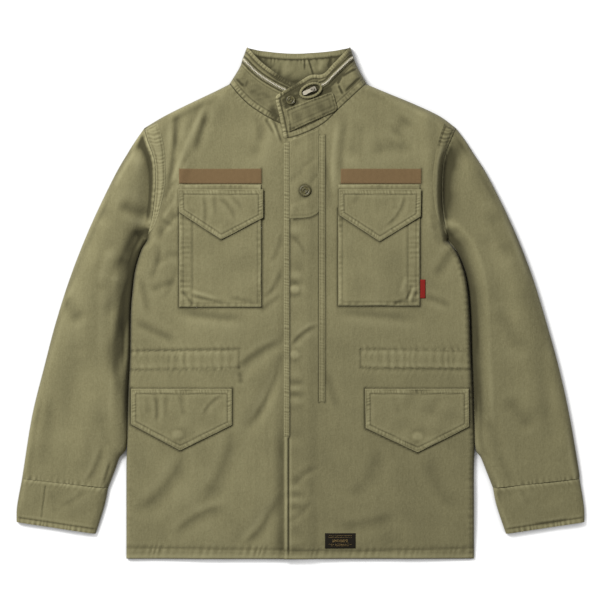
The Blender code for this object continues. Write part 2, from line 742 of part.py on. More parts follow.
# Narrow strips on the left front follow its grid lines
front_rows = panels["left"][1][0, :, 1]
STRIPS = {
    # across at the two sides, up at the bottom and at the top, thickness
    "fly_edge": (FLY_EDGE + 0.6, FLY_EDGE + 9.5, 197, 643, 1.2),
    "fly_welt": (29.3, 38.9, 252, 662, 1.3),
}
for name, (x0, x1, up0, up1, thick) in STRIPS.items():
    rows = front_rows[(front_rows > up0 + 5) & (front_rows < up1 - 5)]
    rows = np.concatenate([[up0], rows, [up1]])
    flat = rectangle(x0, x1, up0, up1, np.linspace(0, 1, 3), (rows - up0) / (up1 - up0))
    laid_on(name, flat, on_front["left"], thick, OLIVE)
flat = rectangle(39, 88, 17.5, 42, np.linspace(0, 1, 5), np.linspace(0, 1, 4))
laid_on("hem_label", flat, on_front["left"], TAPE, BLACK)
flat = rectangle(190.8, 199, 417, 447, np.linspace(0, 1, 3), np.linspace(0, 1, 3))
laid_on("side_tab", flat, on_front["left"], 1.2, RED)

# The closing tab across the throat
on_throat = carrier(*throat_pieces)
TAB_LOW, TAB_HIGH = ((-18, 681), (59.5, 716)), ((-24, 717), (51.5, 746))
tab_ends = [straight(low, high) for low, high in zip(TAB_LOW, TAB_HIGH)]
place = patch(straight(*TAB_LOW), straight(*TAB_HIGH), *tab_ends)
flat = grid(place, edge_rows(9, 0.06), edge_rows(6, 0.1))
laid_on("neck_tab", flat, on_throat, 2.6, OLIVE, lift=0.15, edge=0.9)


def highest(height, centre, radius):
    """The top of what lies under a disc."""
    angles = np.linspace(0, 2 * math.pi, 16, endpoint=False)
    ring = np.stack([np.cos(angles), np.sin(angles)], axis=-1) * radius
    spots = np.array(centre) + np.concatenate([[(0, 0)], ring / 2, ring])
    return float(height(spots).max())


def stacked(levels):
    """Points and faces of a body through (z, outline) levels, bottom first, with flat ends."""
    n = len(levels[0][1])
    points = [(x, y, z) for z, outline in levels for x, y in outline]
    faces = [tuple(range(n))[::-1], tuple(range(len(points) - n, len(points)))]
    for first in range(0, len(points) - n, n):
        for k in range(n):
            a, b = first + k, first + (k + 1) % n
            faces.append((a, b, b + n, a + n))
    return points, faces


# Snap caps: a rolled rim round a sunk middle
SNAP_SIDES = 20
SNAP_PROFILE = (
    # share of the radius, z
    (0.9, 0.0),
    (1.0, 0.8),
    (0.9, 2.0),
    (0.74, 2.4),
    (0.56, 1.7),
    (0.36, 1.1),
)
SNAPS = {
    # across, up, radius, what it is set in
    "fly_snap": (7.4, 588.0, 9.0, on_front["left"]),
    "neck_snap": (-15.5, 731.5, 7.2, on_throat),
}
for name, (x, up, radius, height) in SNAPS.items():
    base = highest(height, (x, up), radius) + GAP
    turns = [2 * math.pi * k / SNAP_SIDES for k in range(SNAP_SIDES)]
    levels = []
    for share, z in SNAP_PROFILE:
        reach = share * radius
        outline = [(x + reach * math.cos(turn), up + reach * math.sin(turn)) for turn in turns]
        levels.append((base + z, outline))
    make_object(name, *stacked(levels), PAINTED_SNAP, roughness=0.45, metallic=0.6)

# The rolled rim of cloth round the zip's end
ZIP_END = np.array([16.6, 747.0])
ZIP_TURN = math.radians(23.6)  # the zip's direction there, up from +X
ALONG_ZIP = np.array([math.cos(ZIP_TURN), math.sin(ZIP_TURN)])
ACROSS_ZIP = np.array([-math.sin(ZIP_TURN), math.cos(ZIP_TURN)])
RIM_LONG, RIM_WIDE = 17.3, 9.8  # half axes of its middle line
RIM_PROFILE = ((1.2, 0.0), (1.0, 1.0), (0.0, 1.6), (-1.0, 1.0), (-1.2, 0.0))  # outwards, up
RIM_SIDES = 28


def rim_line(outwards):
    turns = np.linspace(0, 2 * math.pi, RIM_SIDES + 1)[:, None]
    reach = (RIM_LONG + outwards) * np.cos(turns) * ALONG_ZIP
    return ZIP_END + reach + (RIM_WIDE + outwards) * np.sin(turns) * ACROSS_ZIP


feet = np.stack([rim_line(-1.2), rim_line(1.2)], axis=1)
base = resting(on_throat, feet).max(axis=1)
base[0] = base[-1] = max(base[0], base[-1])
points = []
for outwards, z in RIM_PROFILE:
    ring = np.concatenate([rim_line(outwards), (base + GAP + z)[:, None]], axis=-1)
    points += list(ring[:-1])
faces = []
for r in range(len(RIM_PROFILE)):
    low, high = r * RIM_SIDES, (r + 1) % len(RIM_PROFILE) * RIM_SIDES
    for k in range(RIM_SIDES):
        beyond = (k + 1) % RIM_SIDES
        faces.append((low + k, low + beyond, high + beyond, high + k))
make_object("zip_end_rim", points, faces, OLIVE)

# The slider at the end of the chain: two flanges on a core, with a bridge that holds the pull.
# Its own x runs down the zip towards the pull's far end, and lengths are from the pull's hinge.
SLIDER_FROM_CENTRE = 3.8  # along the zip from the middle of the rim
SLIDER_HALF = ((-5.0, 3.0), (-3.6, 4.2), (2.0, 4.2), (5.0, 2.4))  # half outline: x, y
SLIDER_TOP = 3.2
BRIDGE = ((-2, 2.9), (-2, 5.9), (-1.2, 6.7), (1.2, 6.7), (2, 5.9), (2, 2.9))  # outer line: x, z
TUNNEL = ((1.1, 2.9), (1.1, 5.8), (-1.1, 5.8), (-1.1, 2.9))  # the way through under it
BRIDGE_HALF_WIDTH = 1.1
HINGE_HEIGHT = 4.7
PULL_HALF = ((-0.5, 2.7), (4.5, 2.7), (12, 3.2), (15.8, 3.2), (17.2, 2.4), (17.8, 1.0))
PULL_HALF_THICK = 0.5
PULL_EYE = ((0.5, 1.6), (4.0, 1.6))  # half outline of the hole for the bridge
PULL_DROOP = math.radians(8)


def both_halves(half, scale=(1, 1)):
    """A closed outline from the half of it with positive y, mirrored in y."""
    scaled = [(x * scale[0], y * scale[1]) for x, y in half]
    return [(x, -y) for x, y in scaled] + scaled[::-1]


def operand(owner, name, points, faces, operation):
    """A body that an EXACT Boolean joins to its owner or cuts from it."""
    made = make_object(name, points, faces, STEEL, place=metres)
    made.parent = owner
    made.hide_render = True
    made.display_type = "WIRE"
    modifier = owner.modifiers.new(name, "BOOLEAN")
    modifier.operation = operation
    modifier.object = made


spot = ZIP_END + SLIDER_FROM_CENTRE * ALONG_ZIP
base = highest(on_throat, spot, 5.0) + GAP
outline = both_halves(SLIDER_HALF)
core = both_halves(SLIDER_HALF, (0.8, 0.55))
crown = both_halves(SLIDER_HALF, (0.92, 0.9))
levels = [(0, outline), (1.0, outline), (1.0, core), (2.1, core), (2.1, outline), (SLIDER_TOP, crown)]
slider = make_object("zip_slider", *stacked(levels), STEEL, 0.35, 1.0, place=metres)
slider.location = world((*spot, base))
slider.rotation_euler.z = ZIP_TURN + math.pi
arch = BRIDGE + TUNNEL
points = [(x, y, z) for y in (BRIDGE_HALF_WIDTH, -BRIDGE_HALF_WIDTH) for x, z in arch]
n = len(arch)
faces = [tuple(range(n)), tuple(range(n, 2 * n))[::-1]]
faces += [(k, n + k, n + (k + 1) % n, (k + 1) % n) for k in range(n)]
operand(slider, "slider_bridge", points, faces, "UNION")

# The pull, a flat plate that swings on the bridge. The empty stands on its hinge axis.
hinge = bpy.data.objects.new("zip_pull_hinge", None)
bpy.context.scene.collection.objects.link(hinge)
hinge.location = world((*spot, base + HINGE_HEIGHT))
hinge.rotation_euler.z = ZIP_TURN + math.pi
plate = both_halves(PULL_HALF)
levels = [(-PULL_HALF_THICK, plate), (PULL_HALF_THICK, plate)]
pull = make_object("zip_pull", *stacked(levels), STEEL, 0.35, 1.0, place=metres)
pull.parent = hinge
pull.rotation_euler.y = PULL_DROOP
eye = both_halves(PULL_EYE)
operand(pull, "pull_eye", *stacked([(-1.0, eye), (1.0, eye)]), "DIFFERENCE")
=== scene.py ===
"""Field jacket in garment-washed cotton sateen, laid out flat on its back with its front up.

Tables are in millimetres: "across" from the middle of the back towards the wearer's left, "up"
from the hem, and height above the surface. Names say the wearer's right and left.
"""

import math

import bpy
import numpy as np
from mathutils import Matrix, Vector
from mathutils.bvhtree import BVHTree


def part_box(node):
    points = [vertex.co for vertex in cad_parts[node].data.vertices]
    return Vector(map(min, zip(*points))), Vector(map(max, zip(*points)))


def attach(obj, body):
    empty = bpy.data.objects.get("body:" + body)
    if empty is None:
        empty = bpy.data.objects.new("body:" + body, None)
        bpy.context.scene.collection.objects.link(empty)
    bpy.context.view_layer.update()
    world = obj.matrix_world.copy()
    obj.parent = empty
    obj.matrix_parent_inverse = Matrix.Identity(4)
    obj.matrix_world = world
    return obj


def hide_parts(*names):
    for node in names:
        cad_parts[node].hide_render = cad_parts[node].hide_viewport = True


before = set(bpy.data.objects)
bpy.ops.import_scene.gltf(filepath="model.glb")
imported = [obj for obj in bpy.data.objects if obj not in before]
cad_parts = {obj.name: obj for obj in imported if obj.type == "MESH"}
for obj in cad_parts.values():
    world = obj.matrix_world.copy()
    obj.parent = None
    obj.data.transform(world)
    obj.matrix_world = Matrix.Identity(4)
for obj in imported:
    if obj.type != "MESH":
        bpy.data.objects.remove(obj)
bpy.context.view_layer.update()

# The surface, the light and the camera: a plain white table, one large soft lamp high at the
# upper left with a white room round it, and a long lens straight above.
LENGTH = 819.0  # hem to the top of the collar, laid out
VIEW_WIDTH = 0.96  # metres of table across the view
VIEW_CENTRE = (-0.0008, 0.0049)
CAMERA_HEIGHT = 3.0
LEVEL_IN_FOCUS = 0.008  # height at which the view is exactly VIEW_WIDTH wide
TABLE_REACH = 12.0  # metres from the middle to each edge, so that low views don't look past it
WHITE = (1.0, 1.0, 1.0, 1.0)


def srgb(code):
    """A hex colour as linear red, green, blue and alpha."""
    parts = [int(code[k : k + 2], 16) / 255 for k in (1, 3, 5)]
    return (*[p / 12.92 if p <= 0.04045 else ((p + 0.055) / 1.055) ** 2.4 for p in parts], 1.0)


def feed(node, inputs):
    """Sets a node's inputs to values or links them to other nodes' outputs."""
    for name, value in inputs.items():
        if isinstance(value, bpy.types.NodeSocket):
            node.id_data.links.new(value, node.inputs[name])
        else:
            node.inputs[name].default_value = value


def add(nodes, kind, inputs=None, **settings):
    """A shader node with its settings and its inputs."""
    node = nodes.new("ShaderNode" + kind)
    for name, value in settings.items():
        setattr(node, name, value)
    feed(node, inputs or {})
    return node


def new_material(name):
    """A node material, its nodes and its shader."""
    made = bpy.data.materials.new(name)
    made.use_nodes = True
    nodes = made.node_tree.nodes
    shader = nodes["Principled BSDF"]
    return made, nodes, shader


def lit_table():
    """Matt opal acrylic over a light box: an even white ground. It glows less close to whatever
    lies on it, which leaves a thin soft shadow, and not at all in the gap between two panels."""
    made, nodes, shader = new_material("matt opal acrylic, lit from below")
    grain = add(nodes, "TexNoise", {"Scale": 400.0, "Detail": 2.0})
    open_sky = add(nodes, "AmbientOcclusion", {"Distance": 0.02}, samples=8)
    glow = add(
        nodes, "MapRange",
        {"Value": open_sky.outputs["AO"], "From Min": 0.43, "From Max": 1.0, "To Max": 0.62},
    )
    relief = add(nodes, "Bump", {"Strength": 0.05, "Distance": 0.0005, "Height": grain.outputs[0]})
    feed(shader, {"Base Color": srgb("#B4B4B4"), "Roughness": 0.9, "Normal": relief.outputs[0]})
    feed(shader, {"Emission Color": WHITE, "Emission Strength": glow.outputs[0]})
    return made


table_mesh = bpy.data.meshes.new("table")
corners = [(x * TABLE_REACH, y * TABLE_REACH, 0) for x, y in ((-1, -1), (1, -1), (1, 1), (-1, 1))]
table_mesh.from_pydata(corners, [], [(0, 1, 2, 3)])
table_top = bpy.data.objects.new("table", table_mesh)
bpy.context.scene.collection.objects.link(table_top)
table_mesh.materials.append(lit_table())

world = bpy.data.worlds.new("white room")
world.use_nodes = True
feed(world.node_tree.nodes["Background"], {"Color": WHITE, "Strength": 0.4})
bpy.context.scene.world = world


def soft_lamp(name, place, size, power):
    """A square lamp that faces the middle of the jacket."""
    lamp = bpy.data.lights.new(name, "AREA")
    lamp.size = size
    lamp.energy = power
    holder = bpy.data.objects.new(name, lamp)
    bpy.context.scene.collection.objects.link(holder)
    holder.location = place
    holder.rotation_euler = (-Vector(place)).to_track_quat("-Z", "Y").to_euler()


soft_lamp("key lamp", (-1.81, 1.88, 2.81), 1.05, 235.0)

lens = bpy.data.cameras.new("camera")
lens.sensor_width = 36.0
lens.lens = lens.sensor_width * (CAMERA_HEIGHT - LEVEL_IN_FOCUS) / VIEW_WIDTH
camera = bpy.data.objects.new("camera", lens)
bpy.context.scene.collection.objects.link(camera)
camera.location = (*VIEW_CENTRE, CAMERA_HEIGHT)
bpy.context.scene.camera = camera
bpy.context.scene.view_settings.view_transform = "Standard"

# The fronts: one panel of heavy cotton sateen each, cut with the shoulder and the armhole, hemmed
# and topstitched at the bottom and drawn in by a cord casing at the waist. The left one laps over.
CLOTH = 1.3  # washed sateen with its backing
GAP = 0.3  # between two pieces sewn together
SEAM_HEIGHT = 4.4  # where the front meets the back along a laid edge
UNDER_ROLL = 7.0  # how far in from an edge the back curls up to that seam
EDGE_ROLL = 14.0  # how far in the front of the body rolls down to it
SLEEVE_ROLL = 34.0  # the same on the outer fold of a sleeve
INNER_SLEEVE_ROLL = 24.0  # and along its inner edge
INNER_BODY_ROLL = 9.0  # the body's side where it lies against the sleeve
FLY_EDGE = -27.0  # front edge of the left front
FLY_LIFT = 2.9  # the left front above the right one, where it laps over
UNDERLAP_END = 4.0  # hidden front edge of the right front
LAP_FADE = (10.0, 30.0)  # where the lapped front comes down again

# Fold of the shoulder, the collar's side and the sleeve's outer edge, collar first
OUTER_EDGE = (
    # up, across on the right, across on the left
    (819, -86, 80),
    (800, -93, 86),
    (786, -98, 92),
    (760, -114, 106),
)
SHOULDER = (
    (760, -114, 106),
    (747, -140, 137),
    (728, -180, 183),
    (709, -218, 223),
    (690, -250, 249),
)
SLEEVE_OUTER = (
    (690, -250, 249),
    (670, -264, 264),
    (651, -276, 276),
    (613, -298, 300),
    (536, -335, 338),
    (459, -366, 369),
    (382, -391, 393),
    (306, -411, 414),
    (229, -430, 431),
    (142, -444, 446),
    (129, -446, 447),
)
ARMHOLE = (
    (690, -250, 249),
    (664, -242, 237),
    (638, -233, 229),
    (606, -231, 226),
    (575, -233, 226),
    (545, -237, 229),
    (510, -246, 236),
)
# The body's side from the underarm down, against which the sleeve lies as far as CROTCH_UP
CROTCH_UP = 182
SIDE = (
    (510, -246, 236),
    (492, -256, 250),
    (462, -265, 262),
    (432, -269, 268),
    (394, -272, 271),
    (334, -273, 273),
    (254, -276, 277),
    (182, -278, 279),
    (142, -279, 278),
    (0, -279, 278),
)
SLEEVE_INNER = (
    (182, -278, 279),
    (162, -290, 289),
    (142, -297, 297),
    (114, -308, 308),
)
CUFF_OUTER = ((129, -446, 447), (85, -454, 454), (59, -455, 455))
CUFF_INNER = ((114, -308, 308), (85, -314, 314), (40, -328, 329))

# Highest line of the laid garment above the surface
BODY_CROWN = (
    # up, height
    (0, 10.0),
    (25, 13.5),
    (150, 18.0),
    (300, 22.0),
    (450, 26.0),
    (600, 28.0),
    (690, 28.0),
    (750, 30.0),
    (819, 30.0),
)
BODY_FALL = 3.0  # the body is this much lower at its sides than in the middle
SLEEVE_CROWN = (
    # distance down the sleeve from the shoulder, height
    (0, 26.0),
    (150, 29.0),
    (300, 26.0),
    (450, 20.0),
    (570, 14.0),
    (650, 9.5),
)
SLEEVE_AXIS = (-0.33, -0.944)  # down the right sleeve
ARMHOLE_TROUGH = (
    # up, depth of the trough at the armhole seam
    (510, 10.0),
    (560, 10.0),
    (620, 8.0),
    (664, 4.0),
    (690, 0.0),
)
TROUGH_BODY, TROUGH_SLEEVE = 7.0, 30.0  # how far it reaches to each side

# Largest folds: a ridge is positive, a trough negative
FOLDS = (
    # across, up at one end, across, up at the other, rise, half width
    (-205, 700, -214, 560, -4.0, 15.0),
    (-190, 690, -196, 590, 2.5, 14.0),
    (200, 705, 212, 540, 3.5, 12.0),
    (-30, 315, -78, 214, -3.0, 12.0),
    (-27, 350, -97, 294, -2.0, 11.0),
    (-27, 95, -97, 30, -2.0, 12.0),
    (120, 150, 150, 30, -2.0, 16.0),
    (-262, 480, -296, 400, -5.0, 13.0),
    (-330, 470, -345, 330, 3.0, 18.0),
    (-352, 330, -372, 210, -3.0, 16.0),
    (-330, 250, -352, 160, 2.5, 14.0),
    (300, 500, 330, 400, -3.5, 16.0),
    (345, 420, 372, 250, 3.0, 20.0),
    (390, 330, 404, 200, -2.5, 15.0),
)

# Creases that washing and wearing set in the fronts
BODY_CREASES = (
    # across and up at one end, the same at the other, rise, width, steep side's share of it, bow
    (-33, 312, -80, 216, -1.0, 9.0, 0.6, 5),
    (-31, 350, -102, 304, -0.8, 9.0, 0.7, -4),
    (-97, 302, -95, 280, -0.6, 6.0, 0.8, 0),
    (-106, 205, -156, 88, -2.2, 20.0, 0.7, 8),
    (-184, 166, -258, 76, -2.5, 19.0, 0.7, 9),
    (-120, 84, -200, 40, -1.2, 14.0, 0.6, -7),
    (-33, 100, -90, 22, -1.6, 13.0, 0.6, 6),
    (-146, 736, -210, 582, 0.8, 7.0, 0.8, -3),
    (-200, 704, -214, 582, -1.3, 7.0, 0.8, 4),
    (-149, 716, -168, 650, -1.3, 8.0, 0.8, 0),
    (-196, 716, -196, 650, -1.2, 10.0, 0.9, 0),
    (-120, 752, -150, 700, 0.8, 12.0, 1.0, 0),
    (-176, 640, -200, 560, 0.9, 7.0, 0.8, -4),
    (-228, 512, -192, 556, -1.3, 9.0, 0.7, 3),
    (-234, 470, -192, 490, -0.6, 9.0, 0.8, 4),
    (-240, 430, -200, 446, -0.7, 9.0, 0.8, 0),
    (-58, 706, -42, 678, -0.5, 3.0, 0.8, 0),
    (-51, 706, -35, 672, 0.5, 3.0, 0.8, 0),
    (-44, 704, -29, 662, -0.9, 3.0, 0.7, 0),
    (-72, 712, -60, 664, -0.5, 9.0, 0.8, 0),
    (-60, 700, -74, 640, -0.7, 11.0, 0.9, 0),
    (112, 652, 176, 660, -1.5, 18.0, 0.8, 4),
    (170, 706, 148, 676, -1.0, 14.0, 0.9, 0),
    (60, 700, 52, 592, 1.2, 8.0, 0.8, -3),
    (74, 704, 64, 610, -0.7, 7.0, 0.9, -3),
    (96, 700, 80, 640, -0.8, 12.0, 1.0, 0),
    (25, 374, -16, 340, -0.9, 6.0, 0.6, -4),
    (0, 622, 26, 642, -0.5, 5.0, 0.8, 0),
    (-18, 600, 6, 622, -0.5, 6.0, 0.8, 0),
    (16, 598, 29, 616, -0.6, 5.0, 0.8, 0),
    (-18, 566, 14, 576, -0.5, 6.0, 0.7, 2),
    (-16, 545, -4, 590, 0.4, 6.0, 0.8, 0),
    (-14, 470, 10, 420, 0.4, 9.0, 0.9, 0),
    (-12, 120, 26, 150, -0.6, 8.0, 0.7, 3),
    (130, 170, 84, 100, -1.3, 18.0, 0.8, 4),
    (200, 166, 250, 80, -1.4, 20.0, 0.8, -6),
    (150, 70, 60, 52, -1.0, 14.0, 0.8, 3),
    (246, 500, 214, 452, -1.0, 12.0, 0.8, 0),
    (60, 396, 180, 384, -1.0, 12.0, 0.8, 2),
    (-195, 398, -90, 386, -1.2, 12.0, 0.8, -2),
    (-262, 380, -200, 350, -0.8, 10.0, 0.8, 0),
    (-218, 572, -198, 606, -0.5, 5.0, 0.7, 2),
    (-222, 540, -198, 574, 0.4, 4.5, 0.8, 0),
    (-226, 548, -200, 532, -0.3, 5.0, 0.7, -2),
    (-240, 446, -224, 502, -0.6, 7.0, 0.8, -3),
    (-218, 416, -198, 470, -0.5, 8.0, 0.8, -3),
    (-254, 452, -242, 390, -0.5, 8.0, 0.8, 0),
    (-30, 520, -46, 474, -0.6, 6.0, 0.8, 2),
    (-31, 462, -54, 420, -0.7, 6.0, 0.7, 3),
    (-32, 424, -64, 396, -0.5, 6.0, 0.8, 0),
    (-16, 520, 8, 486, -0.4, 5.0, 0.8, 2),
    (38, 640, 46, 560, -0.5, 7.0, 0.9, 2),
    (40, 300, 60, 240, -0.5, 9.0, 0.9, 0),
    (206, 560, 222, 500, -0.5, 7.0, 0.8, 0),
    (-20, 60, 18, 96, -0.5, 7.0, 0.8, -3),
    (196, 420, 240, 404, -0.6, 8.0, 0.8, 2),
)
HEM_STITCH = {
    "right": ((-279, 19), (-150, 17.5), (4, 16)),
    "left": ((-27, 15), (100, 14), (278, 18.5)),
}
SIDE_ROW = 7.5  # stitching of the felled side seam, in from the seam
CASING = {
    # two rows of stitching: across and up at one end, across and up at the other
    "right": ((-272, 333, -98, 337), (-272, 304, -98, 307)),
    "left": ((95, 336, 271, 333), (95, 307, 271, 304)),
}
SIDES = (("right", 1, -1), ("left", 2, 1))  # name, column of the tables, sign of X
NEAR, FAR, LOW, HIGH = range(4)  # edges of a panel's grid
EVERY = slice(None)


def column(table, side, flip=False):
    """The (across, up) points of a table for one side, from its last row to its first if flip."""
    points = [(row[side], row[0]) for row in table]
    return points[::-1] if flip else points


class Path:
    """A smooth line through (across, up) points, read by its share of the whole length."""

    def __init__(self, points, smooth=True):
        points = np.array(points, float)
        if smooth and len(points) > 2:
            points = self.rounded(points)
        self.set(points)

    def set(self, points):
        self.points = points
        steps = np.linalg.norm(np.diff(points, axis=0), axis=1)
        self.lengths = np.concatenate([[0], np.cumsum(steps)])
        self.length = self.lengths[-1]

    @staticmethod
    def rounded(points, parts=8):
        """Catmull-Rom through the points."""
        ends = np.vstack([2 * points[0] - points[1], points, 2 * points[-1] - points[-2]])
        t = np.linspace(0, 1, parts, endpoint=False)[:, None]
        found = []
        for a, b, c, d in zip(ends, ends[1:], ends[2:], ends[3:]):
            bend = 2 * a - 5 * b + 4 * c - d
            twist = 3 * b - 3 * c + d - a
            found.append(b + 0.5 * ((c - a) * t + bend * t**2 + twist * t**3))
        return np.vstack([*found, points[-1:]])

    def at(self, share):
        s = np.asarray(share, float) * self.length
        return np.stack([np.interp(s, self.lengths, self.points[:, k]) for k in (0, 1)], axis=-1)

    def then(self, other):
        joined = Path([(0, 0), (1, 1)])
        joined.set(np.vstack([self.points, other.points[1:]]))
        return joined

    def flipped(self):
        turned = Path([(0, 0), (1, 1)])
        turned.set(self.points[::-1])
        return turned


def straight(*points):
    return Path(points, smooth=False)


def patch(bottom, top, near, far):
    """A map from (u, v) to (across, up) that fits four edges: near is at u = 0, far at u = 1."""

    def place(u, v):
        u, v = np.broadcast_arrays(np.asarray(u, float), np.asarray(v, float))
        rows = (1 - v)[..., None] * bottom.at(u) + v[..., None] * top.at(u)
        columns = (1 - u)[..., None] * near.at(v) + u[..., None] * far.at(v)
        low = (1 - u)[..., None] * bottom.at(0) + u[..., None] * bottom.at(1)
        high = (1 - u)[..., None] * top.at(0) + u[..., None] * top.at(1)
        return rows + columns - (1 - v)[..., None] * low - v[..., None] * high

    return place


def grid(place, across, along):
    return place(np.asarray(across)[:, None], np.asarray(along)[None, :])


def nearest(points, path):
    """How far each point is from a path, and how far along the path the nearest spot lies."""
    spots = points.reshape(-1, 2)
    away = np.full(len(spots), np.inf)
    along = np.zeros(len(spots))
    for a, b, start in zip(path.points[:-1], path.points[1:], path.lengths[:-1]):
        run = b - a
        length = math.hypot(*run)
        if length < 1e-9:
            continue
        share = np.clip((spots - a) @ run / length**2, 0, 1)
        found = np.hypot(*(spots - a - share[:, None] * run).T)
        closer = found < away
        away[closer] = found[closer]
        along[closer] = start + share[closer] * length
    return away.reshape(points.shape[:-1]), along.reshape(points.shape[:-1])


def distance(points, path):
    return nearest(points, path)[0]


def table(rows, x):
    rows = sorted(rows)
    return np.interp(x, [row[0] for row in rows], [row[1] for row in rows])


def clear_of(points, lines, start, over):
    """0 up to start from any of the lines, then rising to 1 within over."""
    share = 1.0
    for line in lines:
        share = share * eased((distance(points, line) - start) / over)
    return share


def bell(share):
    """1 at 0, and falling off softly to nothing by about 2 to each side."""
    return np.exp(-(share**2))


def quarter_round(share):
    """0 at an edge, 1 from share 1 inwards, with the edge upright."""
    return np.sqrt(np.clip(1 - np.clip(1 - share, 0, 1) ** 2, 0, 1))


def eased(share):
    share = np.clip(share, 0, 1)
    return share * share * (3 - 2 * share)


# Seam lines of both sides
FOLD, SHOULDERS, OUTER, ARMHOLES, SIDES_DOWN = {}, {}, {}, {}, {}
CUFFS_OUTER, CUFFS_INNER, SLEEVES_INNER, SLEEVE_FREE = {}, {}, {}, {}
for side, col, sign in SIDES:
    SHOULDERS[side] = Path(column(SHOULDER, col))
    OUTER[side] = Path(column(SLEEVE_OUTER, col))
    ARMHOLES[side] = Path(column(ARMHOLE, col))
    SIDES_DOWN[side] = Path(column(SIDE, col))
    CUFFS_OUTER[side] = Path(column(CUFF_OUTER, col))
    CUFFS_INNER[side] = Path(column(CUFF_INNER, col))
    laid_together = [p for p in column(SIDE, col) if p[1] >= CROTCH_UP]
    SLEEVES_INNER[side] = Path(laid_together + column(SLEEVE_INNER, col)[1:])
    FOLD[side] = (
        Path(column(OUTER_EDGE, col))
        .then(SHOULDERS[side])
        .then(OUTER[side])
        .then(CUFFS_OUTER[side])
    )
    SLEEVE_FREE[side] = SLEEVES_INNER[side].then(CUFFS_INNER[side])


def creases(points, rows):
    """What a table of creases adds: each has a soft and a steep side and fades at its ends."""
    total = np.zeros(points.shape[:-1])
    for x0, up0, x1, up1, rise, width, steep, bow in rows:
        run = np.array((x1 - x0, up1 - up0), float)
        length = math.hypot(*run)
        offset = points - np.array((x0, up0), float)
        along = offset @ run / length**2
        off = (run[0] * offset[..., 1] - run[1] * offset[..., 0]) / length
        off = off - bow * 4 * np.clip(along, 0, 1) * np.clip(1 - along, 0, 1)
        spread = off / np.where(off > 0, width, width * steep)
        fade = eased((along + 0.12) / 0.4) * eased((1.12 - along) / 0.4)
        total += rise * bell(spread) * fade
    return total


def fold_rise(points):
    """What the largest folds add to the height."""
    total = np.zeros(points.shape[:-1])
    for x0, up0, x1, up1, rise, half_width in FOLDS:
        spread = distance(points, straight((x0, up0), (x1, up1))) / half_width
        total += rise * bell(spread)
    return total


def rolled_height(crown, edges):
    """The crown, brought down to the seam round each (distance, roll) edge."""
    rise = crown - SEAM_HEIGHT
    share = np.ones_like(crown)
    for away, roll in edges:
        share = share * quarter_round(away / np.minimum(roll, 1.6 * rise))
    return SEAM_HEIGHT + rise * share


def front_height(points, sleeve=False):
    """Height of the upper side of the laid garment, on the sleeves or the body."""
    heights = np.empty(points.shape[:-1])
    for side, col, sign in SIDES:
        here = points[..., 0] * sign >= 0
        if not here.any():
            continue
        spot = points[here]
        fold = distance(spot, FOLD[side])
        seam = distance(spot, ARMHOLES[side])
        folds = fold_rise(spot)
        crown = table(BODY_CROWN, spot[:, 1]) - BODY_FALL * (spot[:, 0] / 280) ** 2 + folds
        edge = distance(spot, SIDES_DOWN[side])
        body = rolled_height(crown, [(fold, EDGE_ROLL), (edge, INNER_BODY_ROLL)])
        tip = ARMHOLES[side].points[0]
        down = (spot - tip) @ np.array([-sign * SLEEVE_AXIS[0], SLEEVE_AXIS[1]])
        crown = table(SLEEVE_CROWN, down) + folds
        inner = distance(spot, SLEEVE_FREE[side])
        arm = rolled_height(crown, [(fold, SLEEVE_ROLL), (inner, INNER_SLEEVE_ROLL)])
        if sleeve:
            part = 1 - 0.5 * np.exp(-seam / 25)
            reach = TROUGH_SLEEVE
        else:
            part = 0.5 * np.exp(-seam / 15)
            reach = TROUGH_BODY
        height = part * arm + (1 - part) * body
        room = np.clip((height - SEAM_HEIGHT) / 20, 0, 1)
        trough = table(ARMHOLE_TROUGH, spot[:, 1]) * room * bell(seam / reach)
        heights[here] = height - trough
    return heights


def back_height(points, sleeve=False):
    """Height of the underside: flat on the surface and curled up to the seam at a free edge."""
    heights = np.empty(points.shape[:-1])
    for side, col, sign in SIDES:
        here = points[..., 0] * sign >= 0
        if not here.any():
            continue
        spot = points[here]
        free = SLEEVE_FREE[side] if sleeve else SIDES_DOWN[side]
        away = np.minimum(distance(spot, FOLD[side]), distance(spot, free))
        curl = 1 - quarter_round(away / UNDER_ROLL)
        heights[here] = (SEAM_HEIGHT - GAP) * curl
    return heights


def lap_lift(points):
    """How far the left front stands above the right one."""
    start, end = LAP_FADE
    return FLY_LIFT * (1 - eased((points[..., 0] - start) / (end - start)))


def unevenness(points, size, seed, waves=14):
    """Soft random swells of about one size, from -1 to 1."""
    chance = np.random.default_rng(seed)
    total = np.zeros(points.shape[:-1])
    for k in range(waves):
        turn = math.pi * (k + chance.random()) / waves
        rate = 2 * math.pi / (size * chance.uniform(0.6, 1.5))
        shift = chance.uniform(0, 2 * math.pi)
        run = points[..., 0] * math.cos(turn) + points[..., 1] * math.sin(turn)
        total += np.sin(rate * run + shift)
    return total / math.sqrt(waves)


def puckers(along, pitch, seed=0):
    """Small uneven gathers along a seam, from -1 to 1."""
    phase = 2 * math.pi * along / pitch + seed
    phase = phase + 1.5 * np.sin(phase / 5.3 + seed) + 0.9 * np.sin(phase / 2.7 + 2 * seed)
    return np.sin(phase) * (0.65 + 0.35 * np.sin(phase / 7.1 + 3 * seed))


def groove(away, at, depth=0.5, width=1.5):
    """The line that a row of stitching presses into the cloth."""
    return -depth * bell((away - at) / width)


def unit(vectors):
    return vectors / np.maximum(np.linalg.norm(vectors, axis=-1, keepdims=True), 1e-9)


